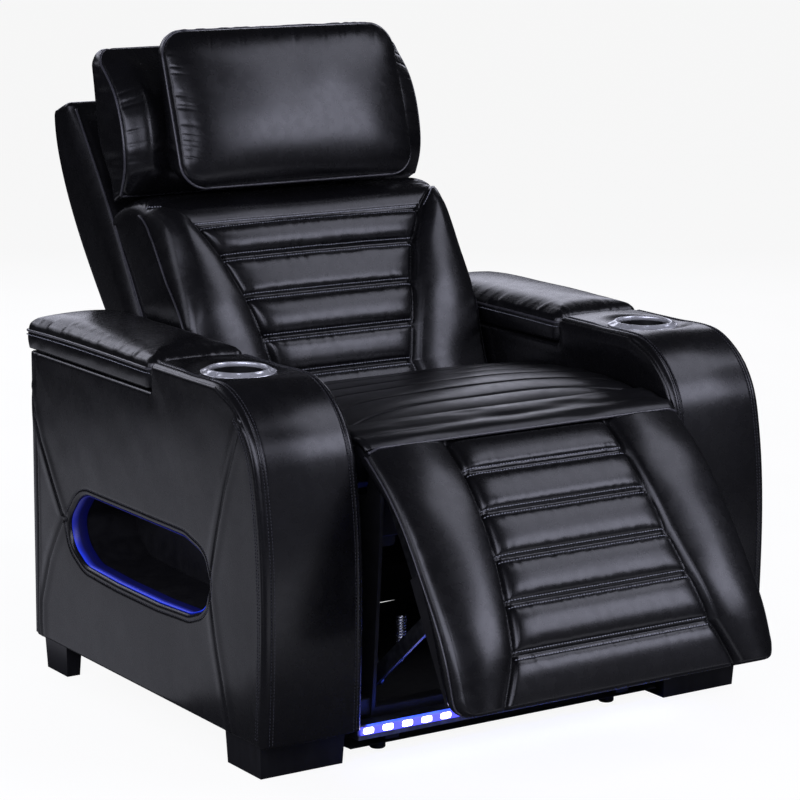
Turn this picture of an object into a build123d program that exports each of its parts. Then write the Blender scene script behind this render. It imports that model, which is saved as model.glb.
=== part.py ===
"""Power recliner, modelled at real size in millimetres.

X runs across the chair (left is -X, seen from the front), +Y runs to the back,
+Z is up. Profiles are drawn in the chair's own section coordinates: y = 0 is
the front face of the base bar between the arms. Y0 moves that point so that
the origin is the bottom centre of the whole chair.
"""
import math
import os

from build123d import *

os.makedirs("parts", exist_ok=True)

# ---------------------------------------------------------------- dimensions
Y0 = 361.0               # from the section origin to the middle of the depth

ARM_IN, ARM_OUT = 297.3, 470.0      # inner and outer faces of each arm
ARM_T = 18.0                        # arm side panels
ARM_Z0, ARM_TOP = 59.0, 578.0       # underside of the arm, cup holder plane
ARM_REAR = 716.0
STEP_Y, STEP_Z = 316.0, 535.0       # the arm drops here under the lid
ROLL_T = 15.0

LEG_X = (304.0, 452.6)
LEG_FRONT_Y = (26.0, 128.0)
LEG_REAR_Y = (640.0, 716.0)
LEG_REAR_X = (423.5, 452.6)

CUP_X, CUP_Y = 383.9, 201.2
CUP_RING_R, CUP_BORE_R, CUP_DEPTH = 57.8, 40.0, 80.0

LID_Y = (318.5, 728.0)
LID_X = (298.0, 469.4)
LID_Z = (537.3, 598.0)
LID_HINGE = (722.0, 532.0)

T = (28.0, 452.0)        # footrest hinge
F = (190.0, 315.0)       # torque tube
K0 = (58.0, 113.0)       # crank pin at rest
B0 = (-104.0, 250.0)     # pivot between the coupler and the footrest bracket
P = (520.0, 400.0)       # recline hinge
H = (788.0, 780.0)       # head hinge

PLATE_X = (246.0, 252.0)       # mechanism side plates
BRACKET_X = (238.0, 244.0)     # footrest and back brackets
COUPLER_X = (230.0, 236.0)
CRANK_X = (222.0, 228.0)

PIN_R, PIN_FIT = 8.0, 0.05     # hinge pins and their radial clearance
ROD_FIT = 0.08

SEAT_HW, BACK_HW, PAD_HW = 289.0, 285.0, 290.0

FOOT_DRIVE_X, RECLINE_DRIVE_X = 76.0, -76.0
FOOT_LEVER_R, FOOT_LEVER_A = 70.0, -8.0       # lever length, angle at rest
RECLINE_LEVER_R, RECLINE_LEVER_A = 118.0, -4.0
HEAD_LEVER_R = 50.0
BACK_TILT = 35.0               # slope of the back shell from the vertical


# ------------------------------------------------------------------- planes
def side(x):
    """Section plane at x: local x is the chair's y, local y is z."""
    return Plane(origin=(x, -Y0, 0), x_dir=(0, 1, 0), z_dir=(1, 0, 0))


def level(z):
    """Horizontal plane at height z."""
    return Plane(origin=(0, -Y0, z), x_dir=(1, 0, 0), z_dir=(0, 0, 1))


def upright(y):
    """Vertical plane across the chair at y; it extrudes towards the front."""
    return Plane(origin=(0, y - Y0, 0), x_dir=(1, 0, 0), z_dir=(0, -1, 0))


def foot_pt(along, out):
    """Point on the footrest, along its bracket and out towards its face."""
    length = math.hypot(B0[0] - T[0], B0[1] - T[1])
    dy, dz = (B0[0] - T[0]) / length, (B0[1] - T[1]) / length
    return (T[0] + along * dy + out * dz, T[1] + along * dz - out * dy)


def polar(centre, r, deg):
    """Point at r from centre; deg runs from straight up towards the back."""
    a = math.radians(deg)
    return (centre[0] + r * math.sin(a), centre[1] + r * math.cos(a))


# ================================================================ base frame
with BuildPart() as base_frame:
    for sx in (-1, 1):
        with BuildSketch(upright(640)) as rail_section:
            with Locations((sx * 219.5, 37.5)):
                RectangleRounded(25, 25, 3)
        extrude(amount=614)
    for y in (40, 600):
        with BuildSketch(side(-246)) as tube_section:
            with Locations((y + 12.5, 62.6)):
                RectangleRounded(25, 24.8, 3)
        extrude(amount=492)
base_frame.part.label = "base_frame"
export_step(base_frame.part, "parts/base_frame.step")

with BuildPart() as glide_feet:
    for gx, gy in ((-219.5, 67), (219.5, 67), (-219.5, 612), (219.5, 612)):
        with BuildSketch(level(0)) as glide_pad:
            with Locations((gx, gy)):
                Circle(12.5)
        extrude(amount=14)
        with BuildSketch(level(14)) as glide_stem:
            with Locations((gx, gy)):
                Circle(7.0)
        extrude(amount=11)
    chamfer(glide_feet.edges().filter_by(GeomType.CIRCLE).group_by(Axis.Z)[0], 1.5)
glide_feet.part.label = "glide_feet"
export_step(glide_feet.part, "parts/glide_feet.step")

with BuildPart() as led_bar:
    with BuildSketch(side(-297.0)) as bar_section:
        with BuildLine():
            Polyline((0, 41), (25.5, 41), (25.5, 64), (0, 64), (0, 61), (3, 61), (3, 48),
                     (0, 48), close=True)
        make_face()
    extrude(amount=594)
led_bar.part.label = "led_bar"
export_step(led_bar.part, "parts/led_bar.step")

with BuildPart() as led_strip:
    with BuildSketch(side(-292)) as strip_section:
        with Locations((1.0, 54.5)):
            Rectangle(3.4, 12.4)
    extrude(amount=584)
led_strip.part.label = "led_strip"
export_step(led_strip.part, "parts/led_strip.step")

with BuildPart() as square_legs:
    for sx in (-1, 1):
        for (xa, xb), (ya, yb) in ((LEG_X, LEG_FRONT_Y), (LEG_REAR_X, LEG_REAR_Y)):
            with BuildSketch(level(0)) as leg_foot:
                with Locations((sx * (xa + xb) / 2, (ya + yb) / 2)):
                    Rectangle(xb - xa - 6, yb - ya - 6)
            with BuildSketch(level(ARM_Z0)) as leg_head:
                with Locations((sx * (xa + xb) / 2, (ya + yb) / 2)):
                    Rectangle(xb - xa, yb - ya)
            loft()
square_legs.part.label = "square_legs"
export_step(square_legs.part, "parts/square_legs.step")

# ===================================================================== arms
FRONT_OUT = [(-8, ARM_Z0), (-14, 250), (-5, 395), (15, 490), (60, 550), (110, ARM_TOP)]
FRONT_IN = [(7, ARM_Z0), (1, 250), (10, 392), (29, 481), (69, 536), (114, ARM_TOP - ROLL_T)]
CUT_OUT = [(548, 331), (592, 281), (580, 240), (536, 215), (430, 210), (300, 209),
           (204, 214), (155, 232), (138, 280), (162, 316), (218, 331)]

# outline of the side pocket, and the same outline grown or shrunk
with BuildSketch() as pocket_outline:
    with BuildLine():
        Polyline(*CUT_OUT, close=True)
    make_face()
    fillet(pocket_outline.vertices(), 16)
POCKET_GROWN = offset(pocket_outline.sketch, amount=3.0, kind=Kind.ARC)
LED_OUTER = offset(pocket_outline.sketch, amount=-0.3, kind=Kind.ARC)
LED_INNER = offset(pocket_outline.sketch, amount=-4.3, kind=Kind.ARC)

with BuildPart() as arm_right_outer_panel:
    with BuildSketch(side(ARM_OUT - ARM_T)) as outer_section:
        with BuildLine():
            front = Spline(*FRONT_OUT, tangents=((-0.03, 1), (1, 0.12)))
            Polyline(front @ 1, (STEP_Y, ARM_TOP), (STEP_Y, STEP_Z), (ARM_REAR, STEP_Z),
                     (ARM_REAR, ARM_Z0), (-8, ARM_Z0))
        make_face()
        add(pocket_outline.sketch, mode=Mode.SUBTRACT)
    extrude(amount=ARM_T)
arm_right_outer_panel.part.label = "arm_right_outer_panel"
export_step(arm_right_outer_panel.part, "parts/arm_right_outer_panel.step")

with BuildPart() as arm_left_outer_panel:
    mirror(arm_right_outer_panel.part, about=Plane.YZ)
arm_left_outer_panel.part.label = "arm_left_outer_panel"
export_step(arm_left_outer_panel.part, "parts/arm_left_outer_panel.step")

with BuildPart() as arm_right_inner_panel:
    with BuildSketch(side(ARM_IN)) as inner_section:
        with BuildLine():
            front = Spline(*FRONT_OUT, tangents=((-0.03, 1), (1, 0.12)))
            Polyline(front @ 1, (STEP_Y, ARM_TOP), (STEP_Y, STEP_Z), (ARM_REAR, STEP_Z),
                     (ARM_REAR, ARM_Z0), (-8, ARM_Z0))
        make_face()
    extrude(amount=ARM_T - 0.3)
arm_right_inner_panel.part.label = "arm_right_inner_panel"
export_step(arm_right_inner_panel.part, "parts/arm_right_inner_panel.step")

PANEL_Y, PANEL_Z = (112.0, 228.0), (530.0, 562.0)       # control panel bezel
HOUSE_Y, HOUSE_Z = (117.0, 223.0), (534.0, 558.0)       # its housing in the arm

with BuildPart() as arm_left_inner_panel:
    mirror(arm_right_inner_panel.part, about=Plane.YZ)
    with BuildSketch(side(-ARM_IN - ARM_T)) as control_window:
        with Locations(((HOUSE_Y[0] + HOUSE_Y[1]) / 2, (HOUSE_Z[0] + HOUSE_Z[1]) / 2)):
            Rectangle(HOUSE_Y[1] - HOUSE_Y[0] + 0.6, HOUSE_Z[1] - HOUSE_Z[0] + 0.6)
    extrude(amount=ARM_T, mode=Mode.SUBTRACT)
arm_left_inner_panel.part.label = "arm_left_inner_panel"
export_step(arm_left_inner_panel.part, "parts/arm_left_inner_panel.step")

with BuildPart() as arm_right_front_roll:
    with BuildSketch(side(ARM_IN + ARM_T)) as roll_section:
        with BuildLine():
            outer = Spline(*FRONT_OUT, tangents=((-0.03, 1), (1, 0.12)))
            inner = Spline(*FRONT_IN, tangents=((-0.03, 1), (1, 0.12)))
            Polyline(outer @ 1, (STEP_Y, ARM_TOP), (STEP_Y, STEP_Z), (STEP_Y - ROLL_T, STEP_Z),
                     (STEP_Y - ROLL_T, ARM_TOP - ROLL_T), inner @ 1)
            Line(outer @ 0, inner @ 0)
        make_face()
    extrude(amount=ARM_OUT - ARM_IN - 2 * ARM_T - 0.3)
    with BuildSketch(level(ARM_TOP - 40)) as cup_hole:
        with Locations((CUP_X, CUP_Y)):
            Circle(CUP_BORE_R + 3.5)
    extrude(amount=60, mode=Mode.SUBTRACT)
arm_right_front_roll.part.label = "arm_right_front_roll"
export_step(arm_right_front_roll.part, "parts/arm_right_front_roll.step")

with BuildPart() as arm_left_front_roll:
    mirror(arm_right_front_roll.part, about=Plane.YZ)
arm_left_front_roll.part.label = "arm_left_front_roll"
export_step(arm_left_front_roll.part, "parts/arm_left_front_roll.step")

# base board and rear board of each arm
with BuildPart() as arm_right_boards:
    with BuildSketch(side(ARM_IN + ARM_T)) as base_board:
        with Locations(((8 + ARM_REAR) / 2, ARM_Z0 + 8)):
            Rectangle(ARM_REAR - 8, 16)
    extrude(amount=ARM_OUT - ARM_IN - 2 * ARM_T - 0.3)
    with BuildSketch(side(ARM_IN + ARM_T)) as rear_board:
        with Locations((ARM_REAR - 7.5, (ARM_Z0 + 16.2 + STEP_Z) / 2)):
            Rectangle(15, STEP_Z - ARM_Z0 - 16.2)
    extrude(amount=ARM_OUT - ARM_IN - 2 * ARM_T - 0.3)
arm_right_boards.part.label = "arm_right_boards"
export_step(arm_right_boards.part, "parts/arm_right_boards.step")

with BuildPart() as arm_left_boards:
    mirror(arm_right_boards.part, about=Plane.YZ)
arm_left_boards.part.label = "arm_left_boards"
export_step(arm_left_boards.part, "parts/arm_left_boards.step")

BIN_X, BIN_Y, BIN_Z, BIN_T = (318.0, 449.0), (330.0, 699.0), (395.0, 533.0), 3.0

with BuildPart() as storage_bin_right:
    with BuildSketch(level(BIN_Z[0])) as bin_outer:
        with Locations(((BIN_X[0] + BIN_X[1]) / 2, (BIN_Y[0] + BIN_Y[1]) / 2)):
            RectangleRounded(BIN_X[1] - BIN_X[0], BIN_Y[1] - BIN_Y[0], 10)
    extrude(amount=BIN_Z[1] - BIN_Z[0])
    with BuildSketch(level(BIN_Z[0] + BIN_T)) as bin_inner:
        with Locations(((BIN_X[0] + BIN_X[1]) / 2, (BIN_Y[0] + BIN_Y[1]) / 2)):
            RectangleRounded(BIN_X[1] - BIN_X[0] - 2 * BIN_T, BIN_Y[1] - BIN_Y[0] - 2 * BIN_T, 7)
    extrude(amount=BIN_Z[1] - BIN_Z[0], mode=Mode.SUBTRACT)
storage_bin_right.part.label = "storage_bin_right"
export_step(storage_bin_right.part, "parts/storage_bin_right.step")

with BuildPart() as storage_bin_left:
    mirror(storage_bin_right.part, about=Plane.YZ)
storage_bin_left.part.label = "storage_bin_left"
export_step(storage_bin_left.part, "parts/storage_bin_left.step")

POCKET_X = 347.0         # back of the side pocket
with BuildPart() as pocket_liner_right:
    with BuildSketch(side(POCKET_X)) as pocket_outer:
        add(POCKET_GROWN)
    extrude(amount=ARM_OUT - ARM_T - 0.2 - POCKET_X)
    with BuildSketch(side(POCKET_X + 3)) as pocket_inner:
        add(pocket_outline.sketch)
    extrude(amount=ARM_OUT - ARM_T - POCKET_X, mode=Mode.SUBTRACT)
pocket_liner_right.part.label = "pocket_liner_right"
export_step(pocket_liner_right.part, "parts/pocket_liner_right.step")

with BuildPart() as pocket_liner_left:
    mirror(pocket_liner_right.part, about=Plane.YZ)
pocket_liner_left.part.label = "pocket_liner_left"
export_step(pocket_liner_left.part, "parts/pocket_liner_left.step")

with BuildPart() as pocket_led_right:
    with BuildSketch(side(438)) as led_ring:
        add(LED_OUTER)
        add(LED_INNER, mode=Mode.SUBTRACT)
    extrude(amount=7)
pocket_led_right.part.label = "pocket_led_right"
export_step(pocket_led_right.part, "parts/pocket_led_right.step")

with BuildPart() as pocket_led_left:
    mirror(pocket_led_right.part, about=Plane.YZ)
pocket_led_left.part.label = "pocket_led_left"
export_step(pocket_led_left.part, "parts/pocket_led_left.step")

# cup holders
RING_AXIS = Plane(origin=(CUP_X, CUP_Y - Y0, 0), x_dir=(1, 0, 0), z_dir=(0, -1, 0))

with BuildPart() as cup_ring_right:
    with BuildSketch(RING_AXIS) as ring_section:
        with BuildLine():
            Polyline((CUP_RING_R, ARM_TOP), (CUP_RING_R, ARM_TOP + 2.5))
            Spline((CUP_RING_R, ARM_TOP + 2.5), (52, ARM_TOP + 7.5), (46, ARM_TOP + 8.6),
                   (CUP_BORE_R + 0.6, ARM_TOP + 5.5))
            Polyline((CUP_BORE_R + 0.6, ARM_TOP + 5.5), (CUP_BORE_R + 0.6, ARM_TOP),
                     (CUP_RING_R, ARM_TOP))
        make_face()
    revolve(axis=Axis((CUP_X, CUP_Y - Y0, 0), (0, 0, 1)))
cup_ring_right.part.label = "cup_ring_right"
export_step(cup_ring_right.part, "parts/cup_ring_right.step")

with BuildPart() as cup_ring_left:
    mirror(cup_ring_right.part, about=Plane.YZ)
cup_ring_left.part.label = "cup_ring_left"
export_step(cup_ring_left.part, "parts/cup_ring_left.step")

with BuildPart() as cup_liner_right:
    with BuildSketch(RING_AXIS) as liner_section:
        with BuildLine():
            Polyline((0, ARM_TOP - CUP_DEPTH), (CUP_BORE_R - 1, ARM_TOP - CUP_DEPTH),
                     (CUP_BORE_R + 2.5, ARM_TOP - 0.2), (CUP_BORE_R, ARM_TOP - 0.2),
                     (CUP_BORE_R - 3.2, ARM_TOP - CUP_DEPTH + 2.5),
                     (0, ARM_TOP - CUP_DEPTH + 2.5), close=True)
        make_face()
    revolve(axis=Axis((CUP_X, CUP_Y - Y0, 0), (0, 0, 1)))
cup_liner_right.part.label = "cup_liner_right"
export_step(cup_liner_right.part, "parts/cup_liner_right.step")

with BuildPart() as cup_liner_left:
    mirror(cup_liner_right.part, about=Plane.YZ)
cup_liner_left.part.label = "cup_liner_left"
export_step(cup_liner_left.part, "parts/cup_liner_left.step")

# lids of the storage bins
with BuildPart() as lid_right:
    with BuildSketch(level(LID_Z[0])) as lid_plan:
        with Locations(((LID_X[0] + LID_X[1]) / 2, (LID_Y[0] + LID_Y[1]) / 2)):
            RectangleRounded(LID_X[1] - LID_X[0], LID_Y[1] - LID_Y[0], 12)
    extrude(amount=LID_Z[1] - LID_Z[0])
    fillet(lid_right.faces().sort_by(Axis.Z)[-1].edges(), 10)
lid_right.part.label = "lid_right"
export_step(lid_right.part, "parts/lid_right.step")

with BuildPart() as lid_left:
    mirror(lid_right.part, about=Plane.YZ)
lid_left.part.label = "lid_left"
export_step(lid_left.part, "parts/lid_left.step")

with BuildPart() as lid_hinges:
    for sx in (-1, 1):
        for dx in (345.0, 425.0):
            x0 = sx * dx - 16
            with BuildSketch(side(x0)) as hinge_leaf:
                with BuildLine():
                    Polyline((ARM_REAR + 0.1, 498), (ARM_REAR + 2.1, 498),
                             (ARM_REAR + 2.1, LID_HINGE[1]), (ARM_REAR + 0.1, LID_HINGE[1]),
                             close=True)
                make_face()
                with Locations(LID_HINGE):
                    Circle(4.0)
            extrude(amount=32)
lid_hinges.part.label = "lid_hinges"
export_step(lid_hinges.part, "parts/lid_hinges.step")

# ======================================================= mechanism and seat
with BuildPart() as mechanism_plate_right:
    with BuildSketch(side(PLATE_X[0])) as plate_section:
        with BuildLine():
            Polyline((36, 50.2), (629, 50.2), (629, 92), (566, 104), (546, 300),
                     (536.5, 398), (503.5, 396), (74, 396), (50, 404), (43, 440),
                     (13, 440), (16, 330), (30, 120), close=True)
        make_face()
        with Locations(T, P):
            Circle(16)
        with BuildLine():
            Polyline((78, 100), (494, 100), (494, 276), (96, 276), close=True)
        make_face(mode=Mode.SUBTRACT)
        with Locations(T, P, F):
            Circle(PIN_R + PIN_FIT, mode=Mode.SUBTRACT)
    extrude(amount=PLATE_X[1] - PLATE_X[0])
mechanism_plate_right.part.label = "mechanism_plate_right"
export_step(mechanism_plate_right.part, "parts/mechanism_plate_right.step")

with BuildPart() as mechanism_plate_left:
    mirror(mechanism_plate_right.part, about=Plane.YZ)
mechanism_plate_left.part.label = "mechanism_plate_left"
export_step(mechanism_plate_left.part, "parts/mechanism_plate_left.step")

with BuildPart() as arm_spacers:
    for sx in (-1, 1):
        for y in (62.0, 585.0):
            x0 = PLATE_X[1] if sx > 0 else -ARM_IN
            with BuildSketch(side(x0)) as spacer_section:
                with Locations((y, 77)):
                    RectangleRounded(46, 28, 3)
            extrude(amount=ARM_IN - PLATE_X[1])
arm_spacers.part.label = "arm_spacers"
export_step(arm_spacers.part, "parts/arm_spacers.step")

MID_TUBES = ((300.0, 300.0, 12.0), (480.0, 245.0, 12.0), (452.0, 388.0, 8.0))
with BuildPart() as mechanism_cross_tubes:
    for y, z, r in MID_TUBES:
        with BuildSketch(side(-PLATE_X[0])) as cross_section:
            with Locations((y, z)):
                Circle(r)
                Circle(r - 2, mode=Mode.SUBTRACT)
        extrude(amount=2 * PLATE_X[0])
mechanism_cross_tubes.part.label = "mechanism_cross_tubes"
export_step(mechanism_cross_tubes.part, "parts/mechanism_cross_tubes.step")

with BuildPart() as seat_front_rail:
    with BuildSketch(side(-PLATE_X[0])) as front_rail_section:
        with Locations((54, 368)):
            RectangleRounded(20, 66, 3)
    extrude(amount=2 * PLATE_X[0])
seat_front_rail.part.label = "seat_front_rail"
export_step(seat_front_rail.part, "parts/seat_front_rail.step")

SPRING_X = (-180.0, -90.0, 0.0, 90.0, 180.0)
with BuildPart() as seat_springs:
    for xs in SPRING_X:
        pts = [(xs, 66 - Y0, 398.4)]
        for k in range(1, 12):
            pts.append((xs + (18 if k % 2 else -18), 66 + k * 31.5 - Y0, 398.4))
        pts.append((xs, 66 + 12 * 31.5 - Y0, 398.4))
        with BuildLine() as wire_path:
            Spline(*pts)
        with BuildSketch(Plane(origin=wire_path.line @ 0, z_dir=wire_path.line % 0)) as wire_cut:
            Circle(2.0)
        sweep(path=wire_path.line)
seat_springs.part.label = "seat_springs"
export_step(seat_springs.part, "parts/seat_springs.step")

with BuildPart() as seat_cushion:
    with BuildSketch(side(-SEAT_HW)) as seat_section:
        with BuildLine():
            arc_a, arc_m, arc_b = (polar(T, 42, a) for a in (112, 60, 8))
            ThreePointArc(arc_a, arc_m, arc_b)
            top = Spline(arc_b, (70, 506), (130, 515), (210, 517), (330, 508), (420, 496),
                         (445, 480), tangents=((0.9, 0.5), (0.2, -1)))
            Polyline(top @ 1, (445, 405), (72, 405), arc_a)
        make_face()
    extrude(amount=2 * SEAT_HW)
seat_cushion.part.label = "seat_cushion"
export_step(seat_cushion.part, "parts/seat_cushion.step")

# ------------------------------------------------------------------- drives
FOOT_PIN = (F[0] - FOOT_LEVER_R * math.sin(math.radians(FOOT_LEVER_A)),
            F[1] - FOOT_LEVER_R * math.cos(math.radians(FOOT_LEVER_A)))
FOOT_ROD_Z = 255.0
RECLINE_PIN = (P[0] - RECLINE_LEVER_R * math.sin(math.radians(RECLINE_LEVER_A)),
               P[1] - RECLINE_LEVER_R * math.cos(math.radians(RECLINE_LEVER_A)))
RECLINE_ROD_Z = 285.5

with BuildPart() as footrest_motor:
    with BuildSketch(upright(400)) as foot_tube:
        with Locations((FOOT_DRIVE_X, FOOT_ROD_Z)):
            Circle(14)
            Circle(PIN_R + ROD_FIT, mode=Mode.SUBTRACT)
    extrude(amount=138)
    with BuildSketch(upright(466)) as foot_gearbox:
        with Locations((FOOT_DRIVE_X, FOOT_ROD_Z)):
            RectangleRounded(54, 46, 8)
    extrude(amount=66)
    with BuildSketch(side(FOOT_DRIVE_X - 90)) as foot_can:
        with Locations((434, FOOT_ROD_Z)):
            Circle(21)
    extrude(amount=66)
footrest_motor.part.label = "footrest_motor"
export_step(footrest_motor.part, "parts/footrest_motor.step")

with BuildPart() as footrest_rod:
    with BuildSketch(upright(336)) as foot_rod_section:
        with Locations((FOOT_DRIVE_X, FOOT_ROD_Z)):
            Circle(PIN_R)
    extrude(amount=336 - FOOT_PIN[0] - 14)
    with BuildSketch(side(FOOT_DRIVE_X - 4)) as foot_fork:
        with Locations((FOOT_PIN[0], FOOT_ROD_Z)):
            RectangleRounded(32, 54, 5)
            SlotOverall(38, 16, rotation=90, mode=Mode.SUBTRACT)
    extrude(amount=8)
footrest_rod.part.label = "footrest_rod"
export_step(footrest_rod.part, "parts/footrest_rod.step")

with BuildPart() as recline_motor:
    with BuildSketch(upright(440)) as recline_tube:
        with Locations((RECLINE_DRIVE_X, RECLINE_ROD_Z)):
            Circle(14)
            Circle(PIN_R + ROD_FIT, mode=Mode.SUBTRACT)
    extrude(amount=112)
    with BuildSketch(upright(328)) as recline_gearbox:
        with Locations((RECLINE_DRIVE_X, RECLINE_ROD_Z - 14)):
            RectangleRounded(54, 46, 8)
    extrude(amount=50)
    with BuildSketch(side(RECLINE_DRIVE_X - 90)) as recline_can:
        with Locations((303, RECLINE_ROD_Z - 21)):
            Circle(20)
    extrude(amount=66)
    with BuildSketch(side(-PLATE_X[0])) as tube_clearance:
        with Locations(MID_TUBES[0][:2]):
            Circle(MID_TUBES[0][2])
    extrude(amount=2 * PLATE_X[0], mode=Mode.SUBTRACT)
recline_motor.part.label = "recline_motor"
export_step(recline_motor.part, "parts/recline_motor.step")

with BuildPart() as recline_rod:
    with BuildSketch(upright(RECLINE_PIN[0] - 10)) as recline_rod_section:
        with Locations((RECLINE_DRIVE_X, RECLINE_ROD_Z)):
            Circle(PIN_R)
    extrude(amount=RECLINE_PIN[0] - 10 - 385)
    with BuildSketch(side(RECLINE_DRIVE_X - 4)) as recline_fork:
        with Locations((RECLINE_PIN[0], RECLINE_ROD_Z)):
            RectangleRounded(25, 38, 4)
            SlotOverall(22, 12, rotation=90, mode=Mode.SUBTRACT)
    extrude(amount=8)
recline_rod.part.label = "recline_rod"
export_step(recline_rod.part, "parts/recline_rod.step")

with BuildPart() as power_box:
    with BuildSketch(level(75.2)) as power_plan:
        with Locations((140, 612)):
            RectangleRounded(130, 62, 6)
    extrude(amount=42)
    fillet(power_box.edges().group_by(Axis.Z)[-1], 3)
power_box.part.label = "power_box"
export_step(power_box.part, "parts/power_box.step")

with BuildPart() as power_inlet:
    with BuildSketch(upright(656)) as inlet_section:
        with Locations((110, 96)):
            Circle(9)
            Circle(5.5, mode=Mode.SUBTRACT)
    extrude(amount=12.9)
    with BuildSketch(upright(646)) as inlet_floor:
        with Locations((110, 96)):
            Circle(6)
    extrude(amount=2.9)
power_inlet.part.label = "power_inlet"
export_step(power_inlet.part, "parts/power_inlet.step")

# ----------------------------------------------------------- control panel
ROCKER_Y = (137.0, 181.0)
LIGHT_Y = 212.0
PANEL_MZ = (PANEL_Z[0] + PANEL_Z[1]) / 2
with BuildPart() as control_panel:
    with BuildSketch(side(-ARM_IN)) as bezel_section:
        with Locations(((PANEL_Y[0] + PANEL_Y[1]) / 2, PANEL_MZ)):
            RectangleRounded(PANEL_Y[1] - PANEL_Y[0], PANEL_Z[1] - PANEL_Z[0], 8)
    extrude(amount=3)
    fillet(control_panel.faces().sort_by(Axis.X)[-1].edges(), 1.2)
    with BuildSketch(side(-ARM_IN - 14.5)) as housing_section:
        with Locations(((HOUSE_Y[0] + HOUSE_Y[1]) / 2, PANEL_MZ)):
            Rectangle(HOUSE_Y[1] - HOUSE_Y[0], HOUSE_Z[1] - HOUSE_Z[0])
    extrude(amount=14.5)
    with BuildSketch(side(-ARM_IN - 9)) as rocker_wells:
        for ry in ROCKER_Y:
            with Locations((ry, PANEL_MZ)):
                Rectangle(38.4, 19)
        with Locations((LIGHT_Y, PANEL_MZ)):
            Circle(7.4)
    extrude(amount=14, mode=Mode.SUBTRACT)
control_panel.part.label = "control_panel"
export_step(control_panel.part, "parts/control_panel.step")

with BuildPart() as recline_rocker:
    with BuildSketch(level(PANEL_MZ - 9)) as rocker_plan:
        with BuildLine():
            Polyline((-ARM_IN - 5, ROCKER_Y[0] - 17.5), (-ARM_IN + 5, ROCKER_Y[0] - 17.5))
            ThreePointArc((-ARM_IN + 5, ROCKER_Y[0] - 17.5), (-ARM_IN + 3.6, ROCKER_Y[0]),
                          (-ARM_IN + 5, ROCKER_Y[0] + 17.5))
            Polyline((-ARM_IN + 5, ROCKER_Y[0] + 17.5), (-ARM_IN - 5, ROCKER_Y[0] + 17.5),
                     (-ARM_IN - 5, ROCKER_Y[0] - 17.5))
        make_face()
    extrude(amount=18)
recline_rocker.part.label = "recline_rocker"
export_step(recline_rocker.part, "parts/recline_rocker.step")

with BuildPart() as headrest_rocker:
    with BuildSketch(level(PANEL_MZ - 9)) as head_rocker_plan:
        with BuildLine():
            Polyline((-ARM_IN - 5, ROCKER_Y[1] - 17.5), (-ARM_IN + 5, ROCKER_Y[1] - 17.5))
            ThreePointArc((-ARM_IN + 5, ROCKER_Y[1] - 17.5), (-ARM_IN + 3.6, ROCKER_Y[1]),
                          (-ARM_IN + 5, ROCKER_Y[1] + 17.5))
            Polyline((-ARM_IN + 5, ROCKER_Y[1] + 17.5), (-ARM_IN - 5, ROCKER_Y[1] + 17.5),
                     (-ARM_IN - 5, ROCKER_Y[1] - 17.5))
        make_face()
    extrude(amount=18)
headrest_rocker.part.label = "headrest_rocker"
export_step(headrest_rocker.part, "parts/headrest_rocker.step")

with BuildPart() as light_button:
    with BuildSketch(side(-ARM_IN - 6)) as button_section:
        with Locations((LIGHT_Y, PANEL_MZ)):
            Circle(7.0)
    extrude(amount=10.6)
    fillet(light_button.faces().sort_by(Axis.X)[-1].edges(), 1.0)
light_button.part.label = "light_button"
export_step(light_button.part, "parts/light_button.step")

# ================================================================= footrest
with BuildPart() as footrest_pad:
    with BuildSketch(side(-PAD_HW)) as pad_section:
        with BuildLine():
            nose = ThreePointArc(polar(T, 39.5, 60), polar(T, 39.5, 5), polar(T, 39.5, -48))
            Spline(nose @ 1, (-16, 471), (-60, 446), (-112, 398), (-158, 341), (-198, 283),
                   (-235, 214), (-257, 152), (-262, 134))
            Polyline((-262, 134), (-250, 124), (-230, 130), (-228, 140))
            Spline((-228, 140), (-190, 238), (-156, 306), (-117, 364), (-70, 412), (-15, 447),
                   polar(T, 24, -56.8))
            ThreePointArc(polar(T, 24, -56.8), polar(T, 24, 0), polar(T, 24, 60))
            Line(polar(T, 24, 60), polar(T, 39.5, 60))
        make_face()
    extrude(amount=2 * PAD_HW)
footrest_pad.part.label = "footrest_pad"
export_step(footrest_pad.part, "parts/footrest_pad.step")

with BuildPart() as footrest_board:
    with BuildSketch(side(-286)) as board_section:
        with BuildLine():
            Polyline(foot_pt(195, 46), foot_pt(195, 70), foot_pt(222, 70), foot_pt(298, 61.5),
                     foot_pt(384, 45), foot_pt(384, 34), close=True)
        make_face()
    extrude(amount=572)
footrest_board.part.label = "footrest_board"
export_step(footrest_board.part, "parts/footrest_board.step")

with BuildPart() as footrest_brackets:
    for sx in (-1, 1):
        x0 = BRACKET_X[0] if sx > 0 else -BRACKET_X[1]
        with BuildSketch(side(x0)) as bracket_section:
            with BuildLine():
                Polyline(foot_pt(0, -11), foot_pt(250, -11), foot_pt(285, 38), foot_pt(215, 43),
                         foot_pt(205, 11), foot_pt(0, 11), close=True)
            make_face()
            with Locations(T):
                Circle(14)
            with Locations(B0):
                Circle(13)
        extrude(amount=6)
        with BuildSketch(side(BRACKET_X[1] - 1 if sx > 0 else -PLATE_X[1] - 1)) as hinge_pin:
            with Locations(T):
                Circle(PIN_R)
        extrude(amount=9)
        with BuildSketch(side(COUPLER_X[0] - 2 if sx > 0 else -BRACKET_X[0] - 1)) as link_pin:
            with Locations(B0):
                Circle(5)
        extrude(amount=11)
footrest_brackets.part.label = "footrest_brackets"
export_step(footrest_brackets.part, "parts/footrest_brackets.step")

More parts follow.
